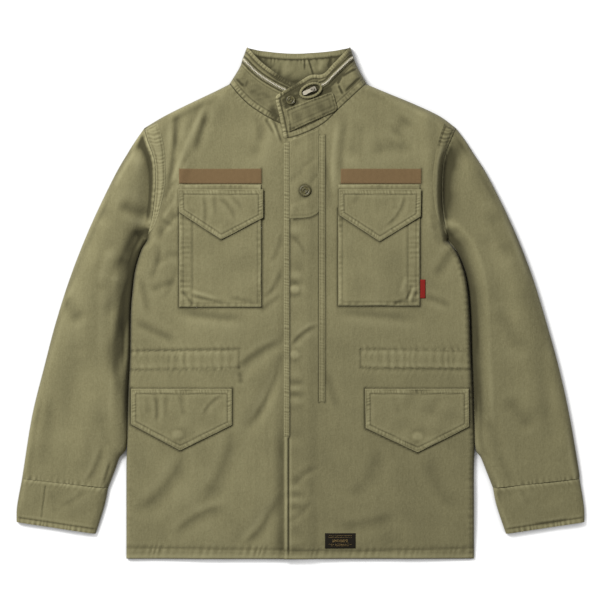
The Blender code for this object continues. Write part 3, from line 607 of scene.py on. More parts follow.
def closed_faces(n, m, flip):
    """Faces of a body whose outer side is an n by m grid and whose inner side follows it."""
    outer = np.arange(n * m).reshape(n, m)
    inner = outer + n * m
    a, b, c, d = outer[:-1, :-1], outer[1:, :-1], outer[1:, 1:], outer[:-1, 1:]
    groups = [np.stack([a, b, c, d], -1).reshape(-1, 4)]
    groups.append(np.stack([a, d, c, b], -1).reshape(-1, 4) + n * m)
    rims = (
        (outer[:-1, 0], outer[1:, 0], inner[:-1, 0], inner[1:, 0], False),
        (outer[:-1, -1], outer[1:, -1], inner[:-1, -1], inner[1:, -1], True),
        (outer[0, :-1], outer[0, 1:], inner[0, :-1], inner[0, 1:], True),
        (outer[-1, :-1], outer[-1, 1:], inner[-1, :-1], inner[-1, 1:], False),
    )
    for start, end, under_start, under_end, turned in rims:
        ring = [start, under_start, under_end, end]
        groups.append(np.stack(ring[::-1] if turned else ring, -1))
    faces = np.concatenate(groups)
    return faces[:, ::-1] if flip else faces


def mirrored(flat):
    """Whether a grid of (across, up) points runs clockwise."""
    steps = [np.gradient(flat, axis=k) for k in (0, 1)]
    return (steps[0][..., 0] * steps[1][..., 1] - steps[0][..., 1] * steps[1][..., 0]).sum() < 0


def metres(points):
    """Garment millimetres to metres about the middle of the footprint."""
    return (np.asarray(points, float) - (0, LENGTH / 2, 0)) / 1000


def proud(relief, reach=3):
    """How far each grid point stands above the mean round it. Ridges are painted paler, as wash
    wear and as highlight, and hollows are painted in shade.
    """
    mean = np.pad(relief, reach, mode="edge")
    window = 2 * reach + 1
    for axis in (0, 1):
        total = np.insert(np.cumsum(mean, axis=axis), 0, 0, axis=axis)
        far = np.take(total, range(window, total.shape[axis]), axis=axis)
        near = np.take(total, range(total.shape[axis] - window), axis=axis)
        mean = (far - near) / window
    return relief - mean


CRISP = 50


def new_piece(name, points, faces, finish, node, wear_and_shade=None, crisp=True):
    """A mesh that stands for a CAD node, in its finish, with its wear value from -1 to 1 at each
    point: paler above 0 for wash wear and painted highlight, painted shade below 0.
    crisp leaves the edges that turn by more than CRISP degrees sharp."""
    mesh = bpy.data.meshes.new(name)
    mesh.from_pydata(metres(points).tolist(), [], [list(map(int, face)) for face in faces])
    mesh.materials.append(finish)
    mesh.shade_smooth()
    if crisp:
        mesh.set_sharp_from_angle(angle=math.radians(CRISP))
    if wear_and_shade is not None:
        worn = mesh.attributes.new("wear_and_shade", "FLOAT", "POINT")
        worn.data.foreach_set("value", np.clip(wear_and_shade, -1, 1).astype(np.float32))
    piece = bpy.data.objects.new(name, mesh)
    bpy.context.scene.collection.objects.link(piece)
    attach(piece, "jacket")
    if node:
        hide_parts(node)
    return piece


def shell(name, flat, height, relief, finish, node, sewn=(), laid=None,
          under=False, inset=None, shade=0.0):
    """A panel as a thin closed shell: its outer side is the (across, up) grid at its heights.

    shade adds to the wear value: above 0 it paints the cloth paler, below 0 it paints shade.

    Along a sewn edge (NEAR, FAR, LOW, HIGH) the rim stands upright and so meets its neighbour's.
    Along a laid edge the rim is level, so that the front stands on the back. laid and sewn may
    name just some of the grid lines that end there.
    """
    outer = np.concatenate([flat, (height + relief)[..., None]], axis=-1)
    steps = [np.gradient(outer, axis=k) for k in (0, 1)]
    normal = unit(np.cross(steps[0], steps[1]))
    turned = normal[..., 2].sum() < 0
    if turned != under:
        normal = -normal
    n, m = height.shape
    lines = {NEAR: (0, EVERY), FAR: (n - 1, EVERY), LOW: (EVERY, 0), HIGH: (EVERY, m - 1)}
    inward = {NEAR: steps[0][0], FAR: -steps[0][-1], LOW: steps[1][:, 0], HIGH: -steps[1][:, -1]}
    for edge, line in lines.items():
        along = np.gradient(outer[line][:, :2], axis=0)
        sideways = unit(np.stack([-along[:, 1], along[:, 0]], axis=-1))
        sideways *= np.where((sideways * inward[edge][:, :2]).sum(-1, keepdims=True) < 0, -1, 1)
        rows = dict(sewn).get(edge, slice(0))
        upright = normal[line].copy()
        upright[:, :2] -= (upright[:, :2] * sideways).sum(-1, keepdims=True) * sideways
        rim = normal[line]
        rim[rows] = unit(upright)[rows]
        normal[line] = rim
        shifted = outer[line]
        shifted[:, :2] += sideways * (inset or {}).get(edge, GAP / 2)
        outer[line] = shifted
    for edge, rows in dict(laid or {}).items():
        level = -unit(inward[edge][:, :2])
        rim = normal[lines[edge]]
        rim[rows] = np.concatenate([level, np.zeros((len(level), 1))], axis=-1)[rows]
        normal[lines[edge]] = rim
    inner = outer - normal * CLOTH
    outer[..., 2] = np.maximum(outer[..., 2], 0)
    points = np.concatenate([outer.reshape(-1, 3), inner.reshape(-1, 3)])
    # the wear value: ridges painted paler, hollows painted in shade, plus the given shade
    wear_and_shade = (proud(relief) / 0.6 + shade).reshape(-1)
    wear_and_shade = np.concatenate([wear_and_shade, wear_and_shade if under else 0 * wear_and_shade])
    piece = new_piece(name, points, closed_faces(n, m, turned != under), finish, node, wear_and_shade)
    return piece


def carrier(*pieces):
    """A ray caster on the pieces' upper sides: (across, up) points to heights."""
    trees = []
    for piece in pieces:
        corners = np.empty(3 * len(piece.data.vertices), np.float32)
        piece.data.vertices.foreach_get("co", corners)
        faces = [face.vertices[:] for face in piece.data.polygons]
        trees.append(BVHTree.FromPolygons(corners.reshape(-1, 3).tolist(), faces))

    def height(points):
        flat = metres(np.concatenate([points, np.zeros((*points.shape[:-1], 1))], axis=-1))
        found = np.full(points.shape[:-1], np.nan)
        for index in np.ndindex(found.shape):
            above = Vector((flat[index][0], flat[index][1], 1.0))
            hits = [tree.ray_cast(above, Vector((0, 0, -1)))[0] for tree in trees]
            heights = [hit.z * 1000 for hit in hits if hit is not None]
            if heights:
                found[index] = max(heights)
        missing = np.isnan(found)
        if missing.any():
            known = np.argwhere(~missing)
            for index in np.argwhere(missing):
                found[tuple(index)] = found[tuple(known[((known - index) ** 2).sum(-1).argmin()])]
        return found

    return height


def paint_shade_along(piece, line, reach, amount):
    """Paints shade on the cloth along a line, such as the edge of a piece that lies on it."""
    count = len(piece.data.vertices)
    places, wear_and_shade = np.empty(3 * count, np.float32), np.empty(count, np.float32)
    piece.data.vertices.foreach_get("co", places)
    worn = piece.data.attributes["wear_and_shade"].data
    worn.foreach_get("value", wear_and_shade)
    spots = places.reshape(-1, 3)[:, :2] * 1000.0 + (0, LENGTH / 2)
    wear_and_shade -= amount * bell(distance(spots, line) / reach)
    worn.foreach_set("value", np.clip(wear_and_shade, -1, 1).astype(np.float32))


def washed_sateen(name, mid, pale, deep):
    """Garment-washed cotton sateen: dull, streaked along the warp, paler where it is proud.

    Piece dyeing leaves faint broad clouds. The wear value paints ridges and edges paler, part wash
    wear and part painted highlight, and paints shade into grooves, crevices and hollows. The warp
    is drawn 1.2 mm wide, three threads, because one is too fine to show.
    """
    made, nodes, shader = new_material(name)
    place = add(nodes, "TexCoord").outputs["Object"]
    clouds = add(nodes, "TexNoise", {"Vector": place, "Scale": 1 / 0.12, "Detail": 1.0})
    warp = add(nodes, "Mapping", {"Vector": place, "Scale": (1 / 0.0012, 1 / 0.007, 1 / 0.007)})
    threads = add(nodes, "TexNoise", {"Vector": warp.outputs[0], "Scale": 1.0, "Detail": 2.0})
    runs = add(nodes, "Mapping", {"Vector": place, "Scale": (1 / 0.005, 1 / 0.045, 1 / 0.045)})
    streaks = add(nodes, "TexNoise", {"Vector": runs.outputs[0], "Scale": 1.0, "Detail": 3.0})
    rumple = {"Vector": place, "Scale": 1 / 0.011, "Detail": 3.0, "Distortion": 0.8}
    rumpled = add(nodes, "TexNoise", rumple)
    lint = add(nodes, "TexNoise", {"Vector": place, "Scale": 1 / 0.0025, "Detail": 3.0})
    both = add(nodes, "Math", {0: threads.outputs[0], 1: lint.outputs[0]}, operation="ADD")
    wear_and_shade = add(nodes, "Attribute", attribute_name="wear_and_shade").outputs["Fac"]
    colour = srgb(mid)
    for pattern, start, end, most, tint in (
        (clouds.outputs[0], 0.35, 0.65, 0.1, deep),
        (streaks.outputs[0], 0.35, 0.65, 0.09, deep),
        (both.outputs[0], 0.75, 1.3, 0.22, pale),
        # the wear value: paler for wash wear and painted highlight, the deep colour for painted
        # shade
        (wear_and_shade, 0.0, 1.0, 0.8, pale),
        (wear_and_shade, 0.0, -1.0, 0.85, deep),
    ):
        spread = {"Value": pattern, "From Min": start, "From Max": end, "To Max": most}
        share = add(nodes, "MapRange", spread).outputs[0]
        tinted = add(nodes, "Mix", {0: share, 6: colour, 7: srgb(tint)}, data_type="RGBA")
        colour = tinted.outputs[2]
    soft = add(nodes, "Bump", {"Strength": 0.22, "Distance": 0.003, "Height": rumpled.outputs[0]})
    weave = {"Height": both.outputs[0], "Normal": soft.outputs[0]}
    relief = add(nodes, "Bump", {"Strength": 0.28, "Distance": 0.0006, **weave})
    feed(shader, {"Base Color": colour, "Normal": relief.outputs[0], "Roughness": 0.88})
    feed(shader, {"Specular IOR Level": 0.2, "Sheen Weight": 0.05, "Sheen Roughness": 0.5})
    return made


def sewing_thread(name, light, dark):
    """Corespun thread dyed with the garment: a dull twist, a little paler than the cloth."""
    made, nodes, shader = new_material(name)
    place = add(nodes, "TexCoord").outputs["Object"]
    twist = add(nodes, "TexNoise", {"Vector": place, "Scale": 1 / 0.0006, "Detail": 1.0})
    tints = {0: twist.outputs[0], 6: srgb(dark), 7: srgb(light)}
    colour = add(nodes, "Mix", tints, data_type="RGBA")
    relief = add(nodes, "Bump", {"Strength": 0.4, "Distance": 0.0002, "Height": twist.outputs[0]})
    feed(shader, {"Base Color": colour.outputs[2], "Normal": relief.outputs[0], "Roughness": 0.75})
    return made


def offset(path, step):
    """The path moved sideways, to the left of its run where the step is positive."""
    run = unit(np.gradient(path.points, axis=0))
    return straight(*(path.points + step * np.stack([-run[:, 1], run[:, 0]], axis=-1)))


def inset(corners, step):
    """The corners of a clockwise outline, moved in from its edges."""
    corners = np.array(corners, float)
    runs = unit(np.roll(corners, -1, axis=0) - corners)
    inward = np.stack([runs[:, 1], -runs[:, 0]], axis=-1)
    before = np.roll(inward, 1, axis=0)
    mitre = 1 + (before * inward).sum(-1, keepdims=True)
    return corners + step * (before + inward) / mitre


def ring(corners, step):
    """A closed row of stitching inside an outline."""
    spots = inset(corners, step)
    return straight(*spots, spots[0])


STITCH, STITCH_STEP = 2.6, 3.3  # a stitch's length, and from one to the next
THREAD, THREAD_RISE = 0.65, 0.45  # its width, and how far it stands out of the cloth
THREAD_SINK = 0.5  # how deep its ends and its sides go down


def stitches(name, rows, on, thread, length=STITCH, step=STITCH_STEP):
    """Rows of topstitching as one mesh of short raised threads, whose ends sink into the cloth."""
    spines = []
    for row in rows:
        count = max(1, round(row.length / step))
        middles = (np.arange(count) + 0.5) / count
        spines.append(row.at(middles[:, None] + length / 2 / row.length * np.array([-1, 0, 1])))
    spine = np.concatenate(spines)
    surface = on(spine)
    run = unit(spine[:, 2] - spine[:, 0])
    side = np.stack([-run[:, 1], run[:, 0]], axis=-1)[:, None] * THREAD / 2
    top = surface + np.array([-THREAD_SINK, THREAD_RISE, -THREAD_SINK])
    low = surface - THREAD_SINK - np.array([0.3, 0, 0.3])
    corners = [(spine + side, low), (spine - side, low), (spine, top)]
    points = np.stack([np.concatenate([xy, z[..., None]], axis=-1) for xy, z in corners], axis=2)
    left, right, crown, end = 0, 1, 2, 6
    one = [(left, right, crown), (end + left, end + crown, end + right)]
    for at in (0, 3):
        for a, b in ((left, crown), (crown, right), (right, left)):
            one.append((at + a, at + b, at + 3 + b, at + 3 + a))
    faces = [[9 * k + corner for corner in face] for k in range(len(spine)) for face in one]
    return new_piece(name, points.reshape(-1, 3), faces, thread, None, crisp=False)


# each sateen's last colour is its deeper dyed tone and also its painted shade
olive_sateen = washed_sateen("washed olive cotton sateen", "#686346", "#8C8766", "#292613")
olive_thread = sewing_thread("garment-dyed corespun thread", "#6A6547", "#4A462E")
faded_thread = sewing_thread("faded corespun thread", "#8A8464", "#6B6549")

NECK = {
    "right": Path(
        [(UNDERLAP_END, 684), (-24, 692), (-47, 702), (-79, 722), (-100, 742), (-114, 760)]
    ),
    "left": Path([(FLY_EDGE, 671), (-12, 673), (15, 683), (39, 697), (62, 719), (106, 760)]),
}
FRONT_EDGE = {
    "right": straight((UNDERLAP_END, 0), (UNDERLAP_END, 684)),
    "left": straight((FLY_EDGE, 0), (FLY_EDGE, 671)),
}
FLY_SNAPS = ((668, 0.9), (431, 0.8), (327.5, 0.8))  # up, and rise, of each hidden snap


def casing_rows(side):
    """The waist casing's two rows of stitching, the upper one first."""
    return [straight(row[:2], row[2:]) for row in CASING[side]]


def front_relief(side, points):
    """Fine form of a front: creases, hem, casing and seams."""
    x, up = points[..., 0], points[..., 1]
    inside = eased(distance(points, FOLD[side]) / 16)
    total = creases(points, BODY_CREASES)
    total += 1.3 * unevenness(points, 210, 5) + 0.16 * unevenness(points, 70, 6)
    total *= inside
    hem, along = nearest(points, straight(*HEM_STITCH[side]))
    below = up < table([(px, pup) for px, pup in HEM_STITCH[side]], x)
    slanted = puckers(along + np.where(below, 0.25, -0.4) * hem, 10.5, 1)
    strength = 0.2 + 0.25 * bell((x + 240) / 20) + 0.25 * bell((x + 56) / 26)
    total += strength * slanted * bell(hem / np.where(below, 12.0, 4.5)) * eased(hem / 4 + 0.2)
    total += groove(hem, 0, 0.2, 2.0) + np.where(below, 0.2, 0) * eased(hem / 4)
    total -= 1.2 * (1 - quarter_round(up / 3.5))
    (x0, high0, x1, _), (_, low0, _, _) = CASING[side]
    for row, seed in zip(casing_rows(side), (2, 4)):
        away, along = nearest(points, row)
        total += groove(away, 0, 0.32, 2.2)
        total += 0.1 * puckers(along + 0.5 * away, 9, seed) * bell(away / 12)
    between = (up > low0) & (up < high0)
    inward = np.clip((x - x0) * (x1 - x) / 2500, 0, 1)
    total += np.where(between, 0.3 + 0.12 * puckers(x, 12, 7), 0) * inward
    end = x1 if side == "right" else x0
    total += groove(np.abs(x - end), 0, 0.3, 1.6) * ((up > low0 - 1) & (up < high0 + 1))
    edge, along = nearest(points, SIDES_DOWN[side])
    felled = groove(edge, SIDE_ROW, 0.2, 1.2) + 0.2 * puckers(along, 9.5, 3) * bell((edge - 5) / 5)
    total += felled * eased(edge / 4) * (0.4 if side == "right" else 1.0)
    neck, along = nearest(points, NECK[side])
    total += 0.22 * puckers(along, 7.5, 6) * bell((neck - 2) / 6)
    if side == "left":
        set_in = distance(points, ARMHOLES[side])
        fold = 0.9 * bell((set_in - 8.5) / 3.5) - 2.4 * bell(set_in / 5)
        total += fold * eased((up - 512) / 70) * eased((680 - up) / 60)
        total += 0.35 * puckers(up, 31, 2) * bell((x + 8) / 12) * eased((660 - up) / 30)
        total += groove(np.abs(x + 19), 0, 1.3, 1.3) * (up < 196) * eased(up / 20)
        total += 0.6 * bell((x + 23.5) / 3) * (up < 197)
        for snap_up, rise in FLY_SNAPS:
            total += rise * bell(((x + 9) ** 2 + (up - snap_up) ** 2) / 50)
    else:
        low_down = 0.4 + 0.6 * eased((250 - up) / 80)
        total -= 1.7 * bell((x + 28) / 10) * eased((690 - up) / 20) * eased(up / 30) * low_down
    return total


ACROSS_FRONT = {"right": 138, "left": 150}
ALONG_FRONT = 282
# The first 0.3 of the grid's columns lie in the 0.2 of the width next to the fly
FINE_AT_FLY = ((0, 0.3, 1), (0, 0.2, 1))
fronts = {}
body_sides = {}  # each side seam and armhole in one line, from the hem up
for side, col, sign in SIDES:
    hem = straight((FRONT_EDGE[side].points[0][0], 0), (SIDES_DOWN[side].points[-1][0], 0))
    top = NECK[side].then(SHOULDERS[side])
    body_sides[side] = SIDES_DOWN[side].flipped().then(ARMHOLES[side].flipped())
    side_share = SIDES_DOWN[side].length / body_sides[side].length
    neck_share = NECK[side].length / top.length
    across = np.interp(np.linspace(0, 1, ACROSS_FRONT[side]), FINE_AT_FLY[0], FINE_AT_FLY[1])
    along = np.linspace(0, 1, ALONG_FRONT)
    flat = grid(patch(hem, top, FRONT_EDGE[side], body_sides[side]), across, along)
    height = front_height(flat)
    if side == "left":
        height = height + lap_lift(flat)
    # Painted shade in the crevice beside the sleeve, over the lower left front and beside the fly
    beside_sleeve = eased((flat[..., 1] - CROTCH_UP) / 60)
    crevice = -1.0 * bell(distance(flat, body_sides[side]) / 3.5) * beside_sleeve
    if side == "left":
        crevice -= 0.12 * eased((340 - flat[..., 1]) / 140)
    if side == "right":
        low_down = eased((230 - flat[..., 1]) / 60) + 0.4 * eased((400 - flat[..., 1]) / 80)
        crevice -= 0.3 * bell((flat[..., 0] + 33) / 9) * low_down
    underarm = int((along <= side_share).sum())
    shoulder = int((across <= neck_share).sum())
    fronts[side] = shell(
        "front_cloth_" + side,
        flat,
        height,
        front_relief(side, flat),
        olive_sateen,
        "front_" + side,
        sewn={FAR: slice(underarm, None), HIGH: slice(0, shoulder)},
        laid={FAR: slice(0, underarm), HIGH: slice(shoulder, None)},
        shade=crevice,
    )

on_front = {side: carrier(fronts[side]) for side in fronts}
for side, col, sign in SIDES:
    (x0, high0, x1, _), (_, low0, _, _) = CASING[side]
    end_x = x1 if side == "right" else x0
    rows = [straight(*HEM_STITCH[side]), *casing_rows(side)]
    rows.append(straight((end_x, low0), (end_x, high0)))
    stitches("front_topstitch_" + side, rows, on_front[side], olive_thread, length=3.2)
    rows = [offset(SIDES_DOWN[side], -SIDE_ROW * sign)]
    stitches("side_topstitch_" + side, rows, on_front[side], faded_thread)

# The back: one panel of the same sateen from the hem to the neck, sewn to the fronts at the
# shoulders and the sides. It lies flat on the table.
# its last colour also serves the painted shade
inside_sateen = washed_sateen("washed sateen, inside face", "#635F43", "#7E795A", "#292613")
top = SHOULDERS["right"].flipped().then(
    Path([(-114, 760), (-60, 752), (-4, 749), (52, 752), (106, 760)])
).then(SHOULDERS["left"])
hem = straight((SIDES_DOWN["right"].points[-1][0], 0), (SIDES_DOWN["left"].points[-1][0], 0))
BACK_COLUMNS, BACK_ROWS = 112, 138
rim_steps = np.array([0, 0.002, 0.005, 0.009])
across = np.concatenate([rim_steps, np.linspace(0, 1, BACK_COLUMNS)[1:-1], 1 - rim_steps[::-1]])
across = np.unique(np.round(across, 5))
along = np.linspace(0, 1, BACK_ROWS)
side_share = SIDES_DOWN["right"].length / body_sides["right"].length
neck_start = SHOULDERS["right"].length / top.length
neck_end = 1 - SHOULDERS["left"].length / top.length
flat = grid(patch(hem, top, body_sides["right"], body_sides["left"]), across, along)
lifted = np.clip(unevenness(flat, 90, 11) - 0.2, 0, 1) * 0.9
lifted = lifted + np.clip(unevenness(flat, 34, 12), 0, 1) * 0.25
lifted *= clear_of(flat, (FOLD["right"], FOLD["left"]), 10, 20)
underarm = int((along <= side_share).sum())
neck = slice(int((across <= neck_start).sum()), int((across < neck_end).sum()))
for_shoulders = np.r_[0 : neck.start, neck.stop : len(across)]
shell(
    "back_cloth",
    flat,
    back_height(flat),
    lifted,
    inside_sateen,
    "back",
    sewn={NEAR: slice(underarm, None), FAR: slice(underarm, None), HIGH: neck},
    laid={NEAR: slice(0, underarm), FAR: slice(0, underarm), HIGH: for_shoulders},
    under=True,
)

# The sleeves: an upper and an under sleeve of the same sateen, joined along the outer fold and
# under the arm and set into the armhole. The elbow has broken soft creases.
SLEEVE_CREASES = (
    # across and up at one end, the same at the other, rise, width, steep side's share of it, bow
    (-250, 540, -292, 456, -4.4, 15.0, 0.7, -3),
    (-300, 500, -318, 440, 1.2, 12.0, 0.8, 0),
    (-288, 568, -244, 550, -1.6, 15.0, 0.8, 0),
    (-272, 440, -292, 300, -4.0, 13.0, 0.8, 3),
    (-312, 440, -318, 320, 1.2, 13.0, 0.8, 0),
    (-380, 420, -350, 380, -1.4, 16.0, 0.9, 0),
    (-300, 610, -316, 540, -1.2, 18.0, 0.9, 0),
    (-318, 240, -306, 170, -0.9, 16.0, 0.8, 0),
    (-316, 180, -342, 122, -1.0, 9.0, 0.6, 3),
    (-304, 156, -315, 120, -0.7, 3.0, 0.8, 0),
    (-396, 262, -410, 150, -1.1, 15.0, 0.8, 0),
    (316, 176, 338, 122, -0.6, 10.0, 0.8, -2),
    (240, 528, 264, 420, -2.0, 15.0, 0.7, -4),
    (266, 430, 284, 320, -1.4, 15.0, 0.8, -3),
    (284, 330, 292, 210, -1.0, 15.0, 0.8, 0),
    (300, 560, 330, 480, -1.6, 18.0, 0.8, 0),
    (318, 400, 352, 330, -1.4, 16.0, 0.9, 0),
    (330, 260, 366, 210, -1.4, 16.0, 0.9, 0),
    (300, 226, 318, 170, -0.8, 14.0, 0.8, 0),
)
HOLLOW = {
    # depth, how far from the armhole seam it is deepest, how far it reaches, how far its painted
    # shade reaches
    "right": (5.0, 9.0, 14.0, 9.0),
    "left": (8.0, 9.0, 19.0, 15.0),
}
# The hollow comes in from this height over this many millimetres, and goes again below this one
HOLLOW_ENDS = {"right": (500, 60, 705, 50), "left": (512, 74, 682, 60)}
# How far the painted shade reaches beside the body, how much further round a height, and for how
# far
CREVICE_SHADE = {"right": (9.0, 7.0, 420, 60), "left": (10.0, 7.0, 380, 90)}
# Where the right sleeve's bend is painted in shade
ELBOW_SHADE_LINE = Path(
    [(-262, 470), (-272, 440), (-282, 410), (-290, 370), (-299, 330), (-297, 300), (-289, 276),
     (-278, 250)]
)
SLUMP = 6.5  # how much the sleeve falls in towards the body that covers its edge
for side, col, sign in SIDES:
    cuff_seam = straight(CUFFS_OUTER[side].points[0], CUFFS_INNER[side].points[0])
    place = patch(ARMHOLES[side], cuff_seam, OUTER[side], SLEEVES_INNER[side])
    ends, edges, clear = {LOW: EVERY, HIGH: EVERY}, {NEAR: EVERY, FAR: EVERY}, {FAR: 0.1}
    flat = grid(place, np.linspace(0, 1, 76), np.linspace(0, 1, 210))
    free = np.minimum(distance(flat, OUTER[side]), distance(flat, SLEEVES_INNER[side]))
    relief = creases(flat, SLEEVE_CREASES)
    relief += 1.3 * unevenness(flat, 190, 15) + 0.2 * unevenness(flat, 70, 16)
    set_in, along = nearest(flat, ARMHOLES[side])
    depth, deepest, reach, shade_reach = HOLLOW[side]
    low, low_over, high, high_over = HOLLOW_ENDS[side]
    lower = eased((flat[..., 1] - low) / low_over) * eased((high - flat[..., 1]) / high_over)
    already = 4 if side == "left" else 0  # the left sleeve starts some way into its hollow
    fall = eased((set_in + already) / deepest)
    relief -= depth * bell((set_in - deepest) / reach) * fall * lower
    beside = distance(flat, SLEEVES_INNER[side])
    hung = eased((flat[..., 1] - 170) / 120)
    relief *= eased(free / 12)
    relief -= SLUMP * (quarter_round(beside / INNER_SLEEVE_ROLL) - eased(beside / 30)) * hung
    relief += 0.3 * puckers(along, 9, 1) * bell(set_in / 5) * eased(free / 12)
    wrist, along = nearest(flat, cuff_seam)
    relief += 0.3 * puckers(along, 9, 2) * bell(wrist / 6) * eased(free / 10)
    height = front_height(flat, sleeve=True)
    # Painted shade beside the body, in the hollow by the armhole, under the arm and along the elbow
    least, more, at_up, over = CREVICE_SHADE[side]
    wide = least + more * bell((flat[..., 1] - at_up) / over)
    crevice = -0.95 * bell(beside / wide) * hung
    crevice -= 0.85 * bell(set_in / shade_reach) * lower
    if side == "left":
        crevice *= 1 - 0.45 * eased((flat[..., 1] - 492) / 20) * (1 - lower)
        crevice -= 0.3 * bell((set_in - 22) / 24) * eased((flat[..., 1] - 470) / 50)
    else:
        crevice *= 0.3 + 0.7 * eased((flat[..., 1] - 350) / 50)
        underarm = ((flat[..., 0] + 268) / 22) ** 2 + ((flat[..., 1] - 498) / 40) ** 2
        crevice -= 0.4 * np.exp(-underarm)
        crevice -= 0.95 * bell(distance(flat, ELBOW_SHADE_LINE) / 8) * eased((flat[..., 1] - 240) / 110)
    shell(
        "sleeve_cloth_top_" + side, flat, height, relief, olive_sateen, "sleeve_top_" + side,
        sewn=ends, laid=edges, inset=clear, shade=crevice,
    )
    flat = grid(place, np.linspace(0, 1, 42), np.linspace(0, 1, 100))
    lifted = np.clip(unevenness(flat, 80, 21) - 0.1, 0, 1) * 0.9
    lifted *= clear_of(flat, (OUTER[side], SLEEVES_INNER[side]), 8, 12)
    shell(
        "sleeve_cloth_under_" + side, flat, back_height(flat, sleeve=True), lifted, olive_sateen,
        "sleeve_under_" + side, sewn=ends, laid=edges, under=True, inset=clear,
    )

# The cuffs: a deep turned hem at the end of each sleeve, joined by a felled seam, with one row of
# stitching near its edge and a short upright seam.
CUFF_ROW, CUFF_SEAM_ROW = 8.0, 1.6  # stitching, in from the cuff's edge and beside its seams
CUFF_CREASES = (
    # the same columns as BODY_CREASES
    (-344, 110, -384, 84, -0.6, 7.0, 0.8, 2),
    (-396, 108, -392, 70, -0.4, 9.0, 0.9, 0),
    (430, 66, 372, 58, -0.7, 5.0, 0.7, 3),
    (352, 112, 366, 86, -0.4, 7.0, 0.8, 0),
)
for side, col, sign in SIDES:
    cuff_seam = straight(CUFFS_OUTER[side].points[0], CUFFS_INNER[side].points[0])
    end = straight(CUFFS_OUTER[side].points[-1], CUFFS_INNER[side].points[-1])
    place = patch(cuff_seam, end, CUFFS_OUTER[side], CUFFS_INNER[side])
    flat = grid(place, np.linspace(0, 1, 84), np.linspace(0, 1, 46))
    free = np.minimum(distance(flat, CUFFS_OUTER[side]), distance(flat, CUFFS_INNER[side]))
    relief = 0.5 * unevenness(flat, 60, 23)
    wrist, along = nearest(flat, cuff_seam)
    relief += 0.1 * bell((wrist - 4) / 4) + groove(wrist, 0, 0.6, 1.0)
    relief += 0.2 * puckers(along + 0.5 * wrist, 8, 2) * bell(wrist / 9)
    edge, along = nearest(flat, end)
    relief += groove(edge, CUFF_ROW, 0.6) + 0.4 * puckers(along, 7.5, 5) * bell(edge / 7)
    placket = straight((sign * 407.8, 116.8), (sign * 414.4, 67.2))
    relief += groove(distance(flat, placket), 0, 0.5, 1.1) * (side == "right")
    relief += creases(flat, CUFF_CREASES)
    relief *= eased(free / 8)
    height = front_height(flat, True)
    cuff = shell(
        "cuff_cloth_top_" + side, flat, height, relief, olive_sateen, "cuff_top_" + side,
        sewn={LOW: EVERY}, laid={NEAR: EVERY, FAR: EVERY},
    )
    rows = [offset(cuff_seam, -CUFF_SEAM_ROW * sign), offset(end, -CUFF_ROW * sign)]
    if side == "right":
        rows.append(offset(placket, CUFF_SEAM_ROW * sign))
    stitches("cuff_topstitch_" + side, rows, carrier(cuff), olive_thread)
    flat = grid(place, np.linspace(0, 1, 44), np.linspace(0, 1, 22))
    shell(
        "cuff_cloth_under_" + side, flat, back_height(flat, True), 0 * flat[..., 0], olive_sateen,
        "cuff_under_" + side, sewn={LOW: EVERY}, laid={NEAR: EVERY, FAR: EVERY}, under=True,
    )

# The armhole seams: felled on the body side, a flat ridge of folded cloth under two rows of
# stitching that gather it a little.
BAND_ROW = 3.2  # both rows of stitching, in from the band's edges
BAND_LIFT, BAND_ROLL = {"right": -0.2, "left": -0.5}, {"right": 2.0, "left": 6.0}
BAND_INNER = {
    "right": Path(
        [(-229, 700), (-219, 668), (-215.5, 636), (-215.5, 597), (-226, 551), (-237, 522)]
    ),
    "left": Path([(230, 699), (219, 666), (213, 636), (210, 600), (216, 551), (230, 522)]),
}


def raised(outer_edge, roll, thick):
    """Height of a sewn-on piece over what carries it, rounded off towards its edge."""
    return thick * (0.3 + 0.7 * quarter_round(outer_edge / roll))


def laid_on(name, flat, on, thick, relief, finish, node, lift=0.0, roll=2.0,
            pale=0.35, shade=0.0):
    """A piece lying on others: a closed shell with rounded edges. relief gets each point's
    place, its distance from the edge and how far along the edge that is; shade is as in shell."""
    rim = [flat[:, 0], flat[-1, :], flat[::-1, -1], flat[0, ::-1]]
    outline = Path(np.concatenate(rim), smooth=False)
    away, along = nearest(flat, outline)
    bottom = on(flat) + GAP + lift
    fine = relief(flat, away, along) if relief else np.zeros_like(away)
    top = bottom + raised(away, roll, thick) + fine
    levels = [np.concatenate([flat, z[..., None]], axis=-1) for z in (top, bottom)]
    # the wear value: ridges painted paler, hollows painted in shade, the edge paler, plus the shade
    wear_and_shade = (proud(fine) / 0.6 + pale * np.exp(-away / 2.0) + shade).reshape(-1)
    faces = closed_faces(*away.shape, mirrored(flat))
    points = np.concatenate([level.reshape(-1, 3) for level in levels])
    piece = new_piece(name, points, faces, finish, node, np.concatenate([wear_and_shade, 0 * wear_and_shade]))
    return piece


